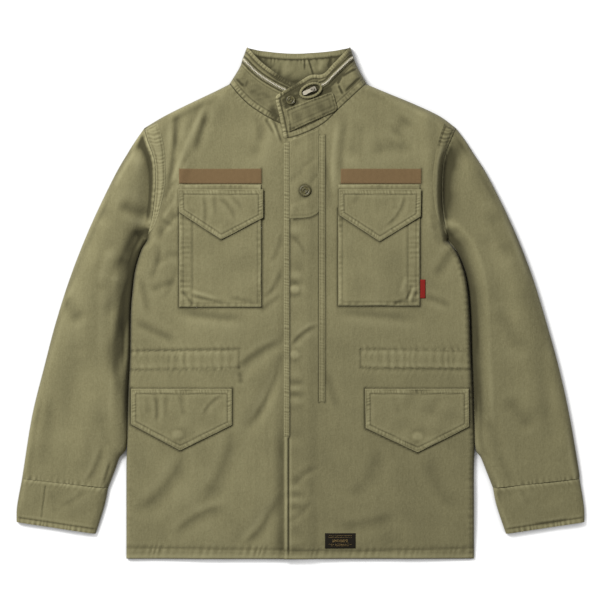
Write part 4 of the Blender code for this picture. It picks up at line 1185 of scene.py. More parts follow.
BAND_HIDDEN = 668  # below this height the left band sinks into the hollow beside it
for side, col, sign in SIDES:
    share = np.linspace(0.02, 0.955, 130)
    line, inner = ARMHOLES[side].at(share), BAND_INNER[side].at(share)
    steps = np.linspace(0.03, 1, 12)[:, None, None]
    flat = (1 - steps) * line + steps * inner
    sunk = eased((BAND_HIDDEN - flat[..., 1]) / 16) * (side == "left")
    from_seam = distance(flat, ARMHOLES[side])

    def ridge(points, away, along):
        gathered = 0.28 * puckers(points[..., 1] + 0.3 * away, 5.5, 2)
        flat_seam = gathered * eased(away / 2) + groove(away, BAND_ROW, 0.5, 1.0)
        rolled = 0.3 * bell((from_seam - 9) / 3.5)
        return (1 - sunk) * flat_seam + sunk * rolled

    # Painted shade in the hollow by the sunk band and along the left band's inner edge, a painted
    # highlight on the rolled ridge, and the upper band paler
    hollow = 0.7 * (1 - eased(from_seam / 6)) * eased((flat[..., 1] - 524) / 50)
    deep = sunk * (0.3 * bell((from_seam - 9) / 3) - hollow)
    if side == "left":
        turned = bell(distance(flat, BAND_INNER[side]) / 2.6)
        deep -= (1 - sunk) * (0.55 + 0.6 * turned)
    band = laid_on(
        "armhole_seam_" + side, flat, on_front[side], 1.0, ridge, olive_sateen,
        "armhole_band_" + side, shade=deep + 0.25 * (1 - sunk),
        lift=BAND_LIFT[side], roll=BAND_ROLL[side], pale=0.05,
    )
    across_band = unit(inner - line)
    rows = [flat[0] + BAND_ROW * across_band, flat[-1] - BAND_ROW * across_band]
    if side == "left":
        rows = [row[row[:, 1] > BAND_HIDDEN - 4] for row in rows]
    rows = [straight(*row) for row in rows]
    stitches("armhole_topstitch_" + side, rows, carrier(band), olive_thread)

# The stand collar: a back wall that lies on the table, and on each side of the throat a panel and
# a band above it, parted by the zip. The edges are topstitched, and the left side laps over.
ZIP_HALF = 0.05  # half the zip's width as a share of the collar's height
ZIP_LINE = {"right": (0.78, 0.69), "left": (0.76, 0.74)}  # share at the throat, at the side
ZIP_START = {"right": 0.22, "left": 0.5}  # share of the way round where the zip begins
ZIP_STEP = 0.03
CHAIN_RISE = 1.4  # the row of teeth above the tapes
CHAIN_FADE = 0.2  # share of the way round in which it comes up from the zip's end
COLLAR_TOP = {
    "right": Path([(UNDERLAP_END, 752), (-6, 757), (-38, 775), (-63, 794), (-86, 819)]),
    "left": Path([(-38, 740), (-6, 759), (16, 772), (36, 774), (52, 790), (80, 819)]),
}
COLLAR_END = {
    "right": straight((UNDERLAP_END, 684), (UNDERLAP_END, 752)),
    "left": Path([(FLY_EDGE, 671), (-34, 706), (-40, 731), (-38, 740)]),
}
BACK_NECK = Path([(-114, 760), (-60, 752), (-4, 749), (52, 752), (106, 760)])
COLLAR_BACK_TOP = Path([(-86, 819), (-60, 813), (-8, 809), (50, 813), (80, 819)])
COLLAR_CREASES = (
    # the same columns as BODY_CREASES
    # right side: seams of the hood's opening, the folds at the throat, the hollow above the zip
    (-104, 767.5, -88.5, 752, -0.6, 3.0, 0.8, 0),
    (-84, 765, -87, 752, -0.3, 2.6, 0.8, 0),
    (-60, 745, -40, 716, -0.9, 6.0, 0.8, 2),
    (-96, 770, -70, 735, -0.5, 6.0, 0.8, 0),
    (-36, 771, -6, 757, -2.2, 6.0, 0.9, 0),
    (-74, 726, -50, 712, 0.5, 5.0, 0.9, 0),
    # left side: the hollow under the zip, and the edges of the loop
    (84, 799, 44, 752, -1.8, 5.0, 0.9, 0),
    (48, 752, 30, 738, -1.8, 6.5, 1.0, 0),
    (59, 757, 65, 769, -0.8, 2.2, 0.8, 0),
    (65, 769, 90, 783, -0.7, 2.2, 0.8, 0),
    (72, 746, 95, 768, -1.2, 2.6, 0.7, 0),
    (60, 756, 67, 741, -0.7, 2.2, 0.8, 0),
    (70, 756, 88, 773, 0.7, 6.0, 0.9, 0),
    (-34, 728, -12, 712, -0.8, 6.0, 0.7, 0),
)
COLLAR_SHADE = (
    # the same columns, with how much shade is painted in place of the rise
    (-46, 778, 2, 754, -1.2, 12.0, 0.9, 0),
    (-46, 722, -34, 682, -1.1, 8.0, 0.9, 0),
    (-104, 767.5, -88.5, 752, -0.6, 3.0, 0.8, 0),
    (-84, 765, -87, 752, -0.25, 3.0, 0.8, 0),
    (-78, 752, -56, 728, -0.25, 12.0, 0.9, 0),
    (84, 799, 44, 752, -1.1, 5.5, 0.9, 0),
    (50, 754, 18, 733, -1.5, 8.0, 0.9, 0),
    (59, 757, 65, 769, -0.8, 2.4, 0.8, 0),
    (65, 769, 90, 783, -0.7, 2.6, 0.8, 0),
    (72, 746, 95, 768, -1.1, 3.2, 0.8, 0),
    (60, 756, 67, 741, -0.8, 2.4, 0.8, 0),
    (-30, 739, 4, 757, -0.8, 6.0, 0.9, 0),
    (62, 728, 92, 752, -0.25, 8.0, 0.9, 0),
)
COLLAR_DARKER = {"right": -0.28, "left": -0.2}  # the collar is painted darker than the body all over
NECK_SNAP = (-15.5, 731.5)
NECK_ROWS = (9.5, 1.8)  # rows of stitching above the neck seam
TOP_ROW = 7.0  # and below the collar's upper edge
END_ROWS = (2.0, 7.5)  # and in from its lapped end


def woven_tape(name, ground, light, rib):
    """Plain woven tape: fine cross ribs give it a dry, flat look. rib is in metres and wider than
    the real one, which is too fine to show."""
    made, nodes, shader = new_material(name)
    place = add(nodes, "TexCoord").outputs["Object"]
    weave = {"Vector": place, "Scale": 1 / rib, "Distortion": 1.2, "Detail": 1.0}
    ribs = add(nodes, "TexWave", weave, bands_direction="X")
    fibre = add(nodes, "TexNoise", {"Vector": place, "Scale": 1 / 0.005, "Detail": 3.0})
    share = add(nodes, "Math", {0: ribs.outputs["Fac"], 1: fibre.outputs[0]}, operation="MULTIPLY")
    tints = {0: share.outputs[0], 6: srgb(ground), 7: srgb(light)}
    colour = add(nodes, "Mix", tints, data_type="RGBA")
    ribbed = {"Strength": 0.4, "Distance": 0.0004, "Height": ribs.outputs["Fac"]}
    relief = add(nodes, "Bump", ribbed)
    feed(shader, {"Base Color": colour.outputs[2], "Normal": relief.outputs[0]})
    feed(shader, {"Roughness": 0.85, "Specular IOR Level": 0.15})
    return made


def plated(name, colour, roughness, metallic):
    """Plated zinc casting, tumbled in the wash: soft highlights with fine dull scratches."""
    made, nodes, shader = new_material(name)
    place = add(nodes, "TexCoord").outputs["Object"]
    rub = add(nodes, "TexNoise", {"Vector": place, "Scale": 1 / 0.0015, "Detail": 4.0})
    least, most = roughness - 0.08, roughness + 0.12
    dull = add(nodes, "MapRange", {"Value": rub.outputs[0], "To Min": least, "To Max": most})
    relief = add(nodes, "Bump", {"Strength": 0.15, "Distance": 0.0002, "Height": rub.outputs[0]})
    feed(shader, {"Base Color": srgb(colour), "Metallic": metallic})
    feed(shader, {"Roughness": dull.outputs[0], "Normal": relief.outputs[0]})
    return made


zip_tape = woven_tape("herringbone zip tape", "#66624A", "#7C785E", 0.002)
frosted = plated("frosted nickel teeth", "#CFC9B8", 0.5, 0.55)
nickel = plated("tumbled nickel plate", "#8F897A", 0.42, 1.0)
# From one tooth to the next, coarser than real so that the teeth show; half sizes along, across
TOOTH_STEP, TOOTH_HALF = 1.35, (0.45, 1.1)
TOOTH_SHIFT = 0.5  # how far each tooth lies to its own tape's side
TOOTH_LEVELS = ((-0.5, 1.0), (0.8, 1.0), (1.2, 0.7))  # height and scale of its rings of corners


def zip_teeth(name, line, on):
    """The closed chain: cast teeth, by turns from the upper and the lower tape."""
    count = int(line.length / TOOTH_STEP)
    share = (np.arange(count) + 0.5) / count
    run = unit(line.at(share + 0.5 / count) - line.at(share - 0.5 / count))
    across = np.stack([-run[:, 1], run[:, 0]], axis=-1)
    turns = np.where(np.arange(count) % 2, 1, -1)
    middle = line.at(share) + across * (TOOTH_SHIFT * turns)[:, None]
    level = on(middle)
    rings = []
    for rise, scale in TOOTH_LEVELS:
        for a, b in ((-1, -1), (1, -1), (1, 1), (-1, 1)):
            spot = middle + scale * (a * TOOTH_HALF[0] * run + b * TOOTH_HALF[1] * across)
            rings.append(np.concatenate([spot, (level + rise)[:, None]], axis=-1))
    points = np.stack(rings, axis=1)
    one = [(3, 2, 1, 0), (8, 9, 10, 11)]
    for low in (0, 4):
        for a, b in ((0, 1), (1, 2), (2, 3), (3, 0)):
            one.append((low + a, low + b, low + 4 + b, low + 4 + a))
    faces = [[12 * tooth + corner for corner in face] for tooth in range(count) for face in one]
    return new_piece(name, points.reshape(-1, 3), faces, frosted, None)


collar_sides = {side: Path(column(OUTER_EDGE, col, flip=True)) for side, col, sign in SIDES}
collar_pieces = {}
for side, col, sign in SIDES:
    place = patch(NECK[side], COLLAR_TOP[side], COLLAR_END[side], collar_sides[side])

    def zip_middle(u):
        at_throat, at_side = ZIP_LINE[side]
        return at_throat + (at_side - at_throat) * u

    def collar_wall(name, u, low, high, rows, sewn, rise=0.0, finish=olive_sateen):
        """One level of the collar, between two shares of its height at each share round it."""
        steps = np.linspace(0, 1, rows)
        flat = place(u[:, None], low[:, None] + (high - low)[:, None] * steps)
        height = front_height(flat)
        height += rise * np.sin(np.pi * steps) ** 3 * eased((u - u[0]) / CHAIN_FADE)[:, None]
        if side == "left":
            height += lap_lift(flat)
        relief = creases(flat, COLLAR_CREASES)
        # Painted shade in the recesses and folds, round the snap, along the seams and under the zip
        shade = COLLAR_DARKER[side] + creases(flat, COLLAR_SHADE)
        if side == "left":
            off = np.linalg.norm(flat - NECK_SNAP, axis=-1)
            turn = np.arctan2(flat[..., 1] - NECK_SNAP[1], flat[..., 0] - NECK_SNAP[0])
            relief -= 1.2 * bell(off / 11)
            relief += 0.3 * np.sin(7 * turn + 1) * bell((off - 11) / 4)
            shade -= 0.95 * np.exp(-((off / 14.5) ** 4))
        if not rise:
            relief += 0.25 * unevenness(flat, 30, 31) + 0.1 * unevenness(flat, 12, 32)
            seam, along = nearest(flat, NECK[side])
            relief += groove(seam, NECK_ROWS[0], 0.4, 1.2) + groove(seam, 0, 0.7, 1.6)
            gathered = {"right": 0.36, "left": 0.18}[side]
            relief += gathered * puckers(along, 6.2, 1) * bell((seam - 4.5) / 3.5)
            # painted paler on the gathers and rims, painted shade in the seam and stitching lines
            shade += 0.8 * gathered * bell((seam - 4.5) / 3) - 0.8 * bell(seam / 2)
            rim, along = nearest(flat, COLLAR_TOP[side])
            relief += groove(rim, TOP_ROW, 0.5, 1.1) - 1.4 * (1 - quarter_round(rim / 4))
            relief += 0.3 * puckers(along, 4.4, 2) * bell((rim - 3.5) / 2.8)
            shade += 0.35 * bell((rim - 3) / 2.5) - 0.5 * bell((rim - TOP_ROW) / 1.6)
            if side == "left":
                end, along = nearest(flat, COLLAR_END[side])
                relief += groove(end, END_ROWS[1], 0.6, 1.2) - 1.2 * (1 - quarter_round(end / 3))
                relief += 0.5 * puckers(along, 5.6, 4) * bell((end - 3.5) / 2.6)
                shade += 0.3 * bell((end - 3.5) / 2.6) - 0.6 * bell((end - END_ROWS[1]) / 1.6)
            chain = distance(flat, chain_line)
            relief += groove(chain, 9.0, 0.3, 1.2) - 0.8 * bell((chain - 4.5) / 1.6)
            shade -= 0.7 * bell((chain - 4.2) / 1.5)
        relief *= eased(distance(flat, collar_sides[side]) / 5)
        seams = {edge: EVERY for edge in sewn}
        name = name + "_" + side
        return shell(
            name, flat, height, relief, finish, name.replace("_cloth", ""), sewn=seams,
            laid={FAR: EVERY}, shade=shade,
        )

    start = ZIP_START[side]
    u = np.linspace(start + ZIP_STEP, 0.985, 60)
    chain_line = straight(*place(u, zip_middle(u)))
    u = np.unique(np.concatenate([np.linspace(0, 1, 150), [start, start + ZIP_STEP]]))
    panel = collar_wall("collar_cloth_panel", u, 0 * u, zip_middle(u) - ZIP_HALF, 52, (LOW, HIGH))
    low = zip_middle(u) + np.where(u <= start, -ZIP_HALF, ZIP_HALF)
    band = collar_wall("collar_cloth_band", u, low, 1 + 0 * u, 26, (LOW,))
    u = u[u >= start + ZIP_STEP]
    low, high = zip_middle(u) - ZIP_HALF, zip_middle(u) + ZIP_HALF
    tape = collar_wall(
        "collar_cloth_zip", u, low, high, 9, (LOW, HIGH), CHAIN_RISE, zip_tape
    )
    zip_teeth("zip_teeth_" + side, chain_line, carrier(tape))
    collar_pieces[side] = [panel, band, tape]
    rows = [offset(NECK[side], step * sign) for step in NECK_ROWS]
    rows.append(offset(COLLAR_TOP[side], -TOP_ROW * sign))
    rows = [straight(*row.at(np.linspace(0.05, 0.95, 40))) for row in rows]
    if side == "left":
        rows += [offset(COLLAR_END[side], -step) for step in END_ROWS]
    stitches("collar_topstitch_" + side, rows, carrier(*collar_pieces[side]), olive_thread)

# The collar's inner side at the back: a facing of the same sateen, sewn in along the neck, with
# a ribbed band along its top edge where it is turned and stitched.
RIM_BAND = 7.5  # width of that band
place = patch(BACK_NECK, COLLAR_BACK_TOP, collar_sides["right"], collar_sides["left"])
flat = grid(place, np.linspace(0, 1, 150), np.linspace(0, 1, 44))
NECK_CREASES = (
    # the same columns as BODY_CREASES
    (6.4, 803, 6.4, 783, -0.6, 1.8, 0.8, 0),
    (11.5, 803, 21.6, 772, -0.8, 2.0, 0.7, 0),
    (-20, 800, -28, 770, 0.4, 5.0, 1.0, 0),
    (50, 806, 45, 788, -0.6, 3.0, 0.8, 0),
    (36, 800, 30, 782, 0.5, 4.0, 1.0, 0),
)
relief = creases(flat, NECK_CREASES) + np.clip(unevenness(flat, 30, 41), 0, 1) * 0.5
rim, along = nearest(flat, COLLAR_BACK_TOP)
relief += 1.1 * eased((RIM_BAND + 0.8 - rim) / 1.6) - 0.5 * (1 - quarter_round(rim / 2))
relief += 0.28 * puckers(along, 3.2, 3) * bell((rim - 4) / 2.6)
relief += 0.3 * puckers(along, 8, 5) * bell((rim - 11) / 5) * (rim > RIM_BAND)
# Painted shade below the rim band, along the fronts' top edges and in the creases; the band paler
shade = 0.15 * bell((rim - 4) / 2.5) - 0.9 * bell((rim - 9) / 1.4)
for side, reach in (("right", 10.0), ("left", 7.0)):
    shade -= 0.9 * bell(distance(flat, COLLAR_TOP[side]) / reach)
side_fold_shade = ((50, 808, 45, 786, -0.7, 4.0, 0.9, 0),)
shade += creases(flat, NECK_CREASES) + creases(flat, side_fold_shade)
relief *= clear_of(flat, (FOLD["right"], FOLD["left"]), 6, 8)
shell(
    "collar_cloth_back", flat, back_height(flat), relief, inside_sateen, "collar_back",
    sewn={LOW: EVERY}, laid={NEAR: EVERY, FAR: EVERY}, under=True, shade=shade,
)

# The pockets: bellows patch pockets on the chest, pressed flat, with a stitched fold inside the
# outer edge that puckers across.
BAG, FLAP = 2.3, 1.7  # a bellows pocket pressed flat, and a two-ply flap
CLEAR = 0.4  # between a flap and the pocket that it closes
POCKETS = {
    # across at the two sides, up at the bottom and the top, across at the inner row of stitching
    "chest_pocket_right": (-193, -62, 403, 598, -172.5),
    "chest_pocket_left": (60, 190, 405, 598, 170),
}
POCKET_ROWS, POCKET_ROWS_TOP = (2.0, 6.0), 566  # in from the edges, and how far up they go
POCKET_CREASES = (
    # the same columns as BODY_CREASES
    (-176, 422, -120, 410, -0.5, 4.0, 0.7, 0),
    (-176, 429, -130, 414, 0.4, 4.0, 0.7, 0),
    (-188, 428, -172, 408, -0.6, 3.5, 0.7, 0),
    (-112, 418, -72, 411, -0.4, 5.0, 0.7, 0),
    (176, 438, 165, 412, -0.5, 3.0, 0.6, 2),
    (181, 436, 171, 410, 0.4, 3.0, 0.7, 0),
    (187, 430, 178, 409, -0.45, 3.0, 0.7, -2),
    (166, 416, 148, 409, -0.5, 4.0, 0.7, 0),
    (170, 452, 158, 424, 0.4, 5.0, 0.8, 0),
    (100, 540, 92, 430, -0.3, 16.0, 0.9, 0),
)


def rectangle(x0, x1, up0, up1, columns, rows):
    low, high = straight((x0, up0), (x1, up0)), straight((x0, up1), (x1, up1))
    near, far = straight((x0, up0), (x0, up1)), straight((x1, up0), (x1, up1))
    return grid(patch(low, high, near, far), spread(columns), spread(rows))


def spread(count, rim=0.35):
    """Even divisions with one more close to each end."""
    inner = np.linspace(0, 1, count)
    return np.concatenate([[0], [inner[1] * rim], inner[1:-1], [1 - inner[1] * rim], [1]])


pockets = {}
for name, (x0, x1, up0, up1, row) in POCKETS.items():
    side = name.split("_")[-1]

    def bag_relief(points, away, along):
        x, up = points[..., 0], points[..., 1]
        fold = (x < row) if side == "right" else (x > row)
        ladder = puckers(up, 9.0, 3) * fold * np.clip(np.abs(x - row) / 5, 0, 1) * eased(away / 4)
        total = 0.16 * ladder + groove(np.abs(x - row), 0, 0.4, 1.4) * (up < 540)
        total += creases(points, POCKET_CREASES) * eased(away / 4)
        total += 0.35 * unevenness(points, 60, 51)
        edge_puckers = 0.2 * puckers(along, 10, 6) * bell((away - 2) / 4)
        total += edge_puckers + groove(away, POCKET_ROWS[1], 0.3, 0.9)
        return total * eased(away / 2)

    flat = rectangle(x0, x1, up0, up1, 62, 88)
    pockets[side] = laid_on(
        name.replace("pocket", "bag"), flat, on_front[side], BAG, bag_relief, olive_sateen, name,
        roll=2.2,
    )
    # Painted shadow on the front round the pocket's sides and bottom
    paint_shade_along(fronts[side], straight((x0, 560), (x0, up0), (x1, up0), (x1, 560)), 2.6, 1.1)
    rows = [straight((row, POCKET_ROWS_TOP), (row, up0 + POCKET_ROWS[1]))]
    for step in POCKET_ROWS:
        near, far, low = x0 + step, x1 - step, up0 + step
        corners = (near, POCKET_ROWS_TOP), (near, low), (far, low), (far, POCKET_ROWS_TOP)
        rows.append(straight(*corners))
    if side == "right":
        rows.append(straight((-164, 530), (-164, 504), (-191, 504)))
    stitches(name + "_topstitch", rows, carrier(pockets[side]), olive_thread)

# The flaps: two plies with a point, turned and topstitched round the edge, and stitched down
# along the top with a second row. A snap under the point lifts it a little.
ON_BAG = BAG + CLEAR
FLAP_ROWS = (2.0, 7.8)  # rows of stitching, in from the edge
FLAPS = {
    # both ends of the top edge, the far corner, the tip, the near corner, and what lies under it
    "chest_flap_right": ((-194, 590), (-59, 590), (-59, 545), (-126, 510), (-193, 554), ON_BAG),
    "chest_flap_left": ((61, 590), (192, 590), (191, 547), (126, 507), (62, 549), ON_BAG),
    "lower_flap_right": ((-270, 273), (-109, 273), (-109, 215), (-192, 174), (-270, 216), 0),
    "lower_flap_left": ((103, 273), (269, 273), (269, 212), (187, 171), (104, 210), 0),
}
FLAP_CREASES = (
    # the same columns as BODY_CREASES
    (-154, 580, -153, 532, -0.9, 5.0, 0.7, 2),
    (-138, 582, -134, 548, -0.6, 5.0, 0.8, 0),
    (-128, 576, -104, 544, -0.8, 6.0, 0.7, 3),
    (-112, 582, -92, 560, -0.5, 5.0, 0.8, 0),
    (-182, 576, -172, 548, -0.5, 6.0, 0.8, 0),
    (166, 580, 136, 532, -1.1, 5.0, 0.6, 6),
    (92, 584, 84, 566, -0.5, 5.0, 0.8, 0),
    (110, 578, 104, 548, -0.4, 7.0, 0.9, 0),
    (148, 580, 150, 556, -0.4, 6.0, 0.9, 0),
    (-232, 264, -230, 220, -0.9, 5.0, 0.7, 2),
    (-215, 266, -214, 226, -0.6, 6.0, 0.8, 0),
    (-192, 266, -186, 228, -0.6, 6.0, 0.8, 0),
    (-122, 264, -156, 230, -0.9, 5.0, 0.7, -5),
    (-246, 262, -242, 232, -0.4, 6.0, 0.9, 0),
    (146, 264, 158, 232, -0.4, 8.0, 0.9, 0),
    (222, 266, 206, 230, -0.4, 8.0, 0.9, 0),
)
SNAP_BUMPS = ((-196, 200), (186.5, 197))
for name, (top0, top1, low1, tip, low0, lift) in FLAPS.items():
    side = name.split("_")[-1]
    low, high = straight(low0, tip, low1), straight(top0, top1)
    place = patch(low, high, straight(low0, top0), straight(low1, top1))
    flat = grid(place, spread(88), spread(46))

    def flap_relief(points, away, along):
        x, up = points[..., 0], points[..., 1]
        total = groove(away, FLAP_ROWS[1], 0.5, 1.0) + groove(away, FLAP_ROWS[0], 0.25, 0.9)
        total += 0.32 * puckers(along + 0.3 * away, 5.2, 3) * bell((away - 4.5) / 3.2)
        total += 0.7 * creases(points, FLAP_CREASES)
        total += 0.3 * unevenness(points, 50, 61)
        for bump_x, bump_up in SNAP_BUMPS:
            total += 0.65 * np.exp(-(((x - bump_x) / 9) ** 2 + ((up - bump_up) / 7) ** 2) ** 2)
        return total * eased(away / 1.5)

    lid = laid_on(
        name.replace("flap", "lid"), flat, on_front[side], FLAP, flap_relief, olive_sateen, name,
        lift=lift, roll=1.6,
    )
    corners = (top0, top1, low1, tip, low0)
    under = pockets[side] if lift else fronts[side]
    # Painted shadow round the flap on what it lies on, and round its whole outline on the front
    paint_shade_along(under, straight(top0, low0, tip, low1, top1), 2.4, 1.0)
    paint_shade_along(fronts[side], straight(*corners, top0), 2.2, 0.7)
    rows = [ring(corners, step) for step in FLAP_ROWS]
    stitches(name + "_topstitch", rows, carrier(lid), olive_thread)

# The fly: the folded front edge with its ribbed topstitching, and the narrow stitched welt that
# holds the main zip under the lap.
FACING_HIGH = ((-17.2, 667), (29.0, 686))
FACING_LOW = ((-17.2, 544), (14, 546), (25, 551), (29.0, 555))


def facing_relief(points, away, along):
    x, up = points[..., 0], points[..., 1]
    total = 0.5 * creases(points, BODY_CREASES) + 0.15 * unevenness(points, 40, 81)
    low = up - table(FACING_LOW, x)
    total += groove(low, 4.0, 0.2, 1.2) + groove(x, 26.5, 0.2, 1.0)
    return total * eased(away / 2)


low_edge = Path(FACING_LOW)
edges = [straight(low_edge.at(end), spot) for end, spot in enumerate(FACING_HIGH)]
flat = grid(patch(low_edge, straight(*FACING_HIGH), *edges), spread(40), spread(80))
facing = laid_on(
    "fly_facing", flat, on_front["left"], 0.6, facing_relief, olive_sateen, None,
    lift=-0.2, roll=1.4, pale=0.1,
)
# Painted shadow on the front beside the facing's right and lower edges
beside_facing = straight((29.4, 672), (29.4, 555), (25, 550), (14, 545), (-10, 543))
paint_shade_along(fronts["left"], beside_facing, 2.2, 0.9)

STRIPS = {
    # across at the two sides, up at the bottom and the top, thickness, its puckers' pitch and depth
    "fly_edge": (FLY_EDGE + 0.6, FLY_EDGE + 9.5, 197, 664, 0.9, 4.9, 0.26),
    "fly_welt": (29.6, 38.9, 252, 676, 0.7, 5.0, 0.13),
}
for name, (x0, x1, up0, up1, thick, pitch, depth) in STRIPS.items():

    def ribbed(points, away, along):
        x, up = points[..., 0], points[..., 1]
        ribs = depth * puckers(up + 0.2 * (x - x0), pitch, 1)
        rows = groove(x, x1 - 1.8, 0.35, 0.9) + groove(x, x0 + 2.0, 0.2, 0.9)
        return (ribs + rows) * eased(away / 1.2)

    flat = rectangle(x0, x1, up0, up1, 9, int((up1 - up0) / 1.15))
    strip = laid_on(
        name.replace("fly", "fly_seam"), flat, on_front["left"], thick, ribbed, olive_sateen, name,
        roll=1.6, pale=0.5 if name == "fly_edge" else 0.1,
    )
    # Painted shadow on the front beside the strip's edges
    for edge, amount in ((x0, 0.3 if name == "fly_edge" else 1.0), (x1, 1.0)):
        paint_shade_along(fronts["left"], straight((edge, up0), (edge, up1)), 1.9, amount)
    rows = [straight((x, up0 + 2), (x, up1 - 2)) for x in (x0 + 2.0, x1 - 1.8)]
    rows.append(straight((x0 + 1.5, up0 + 1.2), (x1 - 1.5, up0 + 1.2)))
    stitches(name + "_topstitch", rows, carrier(strip), olive_thread)

# The closing tab across the throat: two plies, topstitched round the edge with a second rectangle
# inside it. It snaps down at its upper right end.
on_throat = carrier(fronts["left"], *collar_pieces["left"])
TAB_LOW, TAB_HIGH = ((-18, 681), (59.5, 716)), ((-24, 717), (51.5, 746))
TAB_ROUND = 7.0  # radius of the corners at its free end
TAB_ROW, TAB_INNER_ROW = 3.2, 9.5  # stitching, in from the edge


def rounded_corner(before, corner, after, radius=TAB_ROUND, parts=5):
    """The two halves of the arc that rounds a corner."""
    before, corner, after = (np.array(spot, float) for spot in (before, corner, after))
    start, end = corner + radius * unit(before - corner), corner + radius * unit(after - corner)
    share = np.linspace(0, 1, 2 * parts + 1)[:, None]
    arc = (1 - share) ** 2 * start + 2 * share * (1 - share) * corner + share**2 * end
    return arc[: parts + 1], arc[parts:]


low_in, low_out = rounded_corner(TAB_LOW[0], TAB_LOW[1], TAB_HIGH[1])
high_out, high_in = rounded_corner(TAB_LOW[1], TAB_HIGH[1], TAB_HIGH[0])
tab_low, tab_high = straight(TAB_LOW[0], *low_in), straight(TAB_HIGH[0], *high_in[::-1])
ends = straight(TAB_LOW[0], TAB_HIGH[0]), straight(*low_out, *high_out)
flat = grid(patch(tab_low, tab_high, *ends), spread(64), spread(30))


def tab_relief(points, away, along):
    total = groove(away, TAB_ROW, 0.35, 1.2) + groove(away, TAB_INNER_ROW, 0.15, 1.2)
    total += 0.2 * puckers(along, 6, 2) * bell((away - 1.8) / 2.5)
    total += 0.35 * unevenness(points, 25, 71)
    return total * eased(away / 1.2)


# The tab is painted darker all over, more so at its left end and near its right end
along_tab = (flat[..., 0] + 24) / 80
deep = -0.34 - 0.15 * bell(along_tab / 0.2) - 0.25 * bell((along_tab - 0.8) / 0.2)
neck_tab = laid_on(
    "throat_tab", flat, on_throat, 2.6, tab_relief, olive_sateen, "neck_tab", lift=0.15, roll=1.8,
    shade=deep,
)
tab_corners = (TAB_HIGH[0], TAB_HIGH[1], TAB_LOW[1], TAB_LOW[0])
stitches("throat_tab_topstitch", [ring(tab_corners, TAB_ROW)], carrier(neck_tab), olive_thread)

# The tapes and labels: woven cotton tapes above the chest pockets, a black damask label at the
# hem and a small folded tab in the pocket's side, all left bare.
TAPE = 0.7
brown_tape = woven_tape("brown woven cotton tape", "#5D4B32", "#6E5A3E", 0.0035)
brown_thread = sewing_thread("brown corespun thread", "#5E4A30", "#40321F")
gold_yarn = sewing_thread("gold weft yarn", "#D2B06C", "#9A7B3E")
red_tape = woven_tape("red folded woven tape", "#6C1610", "#80231B", 0.003)
black_damask = woven_tape("black damask ribbon", "#14110A", "#1F1B12", 0.002)
TAPES = {
    "name_tape_right": (-193, -62, 599.5, 623),
    "name_tape_left": (64, 192, 599.5, 623),
}
for name, sides in TAPES.items():
    side = name.split("_")[-1]
    flat = rectangle(*sides, 56, 12)
    tape = laid_on(
        name.replace("name_tape", "chest_tape"), flat, on_front[side], TAPE,
        lambda points, away, along: 0.12 * puckers(points[..., 0], 9, 1) * eased(away / 2),
        brown_tape, name, roll=0.8, pale=0.0,
    )
    x0, x1, up0, up1 = sides
    corners = ((x0, up1), (x1, up1), (x1, up0), (x0, up0))
    # Painted shadow on the front under the tape's lower, right and upper edges
    paint_shade_along(fronts[side], straight((x0, up0), (x1, up0), (x1, up1)), 2.0, 0.9)
    stitches(name + "_topstitch", [ring(corners, 1.6)], carrier(tape), brown_thread)
LABEL = (39, 88, 17.5, 42)
flat = rectangle(*LABEL, 30, 16)
ribbon = laid_on(
    "hem_ribbon", flat, on_front["left"], TAPE, None, black_damask, "hem_label",
    roll=0.8,
)
x0, x1, up0, up1 = LABEL
LABEL_LINES = (
    # up from its lower edge, in from both sides: plain lines, five close together in the middle
    (20.6, 5.5),
    (18.0, 5.5),
    (14.2, 12.0),
    (13.3, 12.0),
    (12.4, 12.0),
    (11.5, 12.0),
    (10.6, 12.0),
    (6.8, 5.5),
    (4.4, 9.5),
)
rows = [straight((x0 + ends, up0 + up), (x1 - ends, up0 + up)) for up, ends in LABEL_LINES]
stitches("hem_ribbon_lines", rows, carrier(ribbon), gold_yarn, length=2.4, step=2.0)
flat = rectangle(190.8, 199, 417, 447, 8, 18)
laid_on("pocket_tab", flat, on_front["left"], 1.2, None, red_tape, "side_tab",
        roll=1.2)

# The end of the zip: a narrow strip of sateen rolled over and sewn round the opening in the
# collar that the slider rests in. The sewing gathers it into small even flutes.
ZIP_END, ZIP_TURN = (16.6, 747.0), math.radians(23.6)
RIM_HALF, RIM_ROLL = (17.3, 9.8), 2.3  # half axes of its middle line, and half its thickness
FLUTES = 23
on_collar = carrier(*collar_pieces["left"])
turn = np.linspace(0, 2 * math.pi, 96, endpoint=False)
long_way = np.array([math.cos(ZIP_TURN), math.sin(ZIP_TURN)])
short_way = np.array([-long_way[1], long_way[0]])
lengthways, sideways = np.cos(turn)[:, None], np.sin(turn)[:, None]
outward = unit(lengthways * long_way / RIM_HALF[0] + sideways * short_way / RIM_HALF[1])
middle = lengthways * RIM_HALF[0] * long_way + sideways * RIM_HALF[1] * short_way
middle = middle + ZIP_END
level = on_collar(middle)
level = np.mean([np.roll(level, k) for k in range(-9, 10)], axis=0) + 0.9
rounded = np.linspace(0, 2 * math.pi, 14, endpoint=False)[None, :, None]
thick = RIM_ROLL * (1 + 0.07 * np.sin(FLUTES * turn))[:, None, None]
across_rim = middle[:, None] + thick * np.cos(rounded) * outward[:, None]
rise = level[:, None] + (thick * np.sin(rounded))[..., 0]
points = np.concatenate([across_rim, rise[..., None]], axis=-1)
count, parts = points.shape[:2]
index = np.arange(count * parts).reshape(count, parts)
after, beside = np.roll(index, -1, axis=0), np.roll(index, -1, axis=1)
faces = np.stack([index, after, np.roll(after, -1, axis=1), beside], axis=-1).reshape(-1, 4)
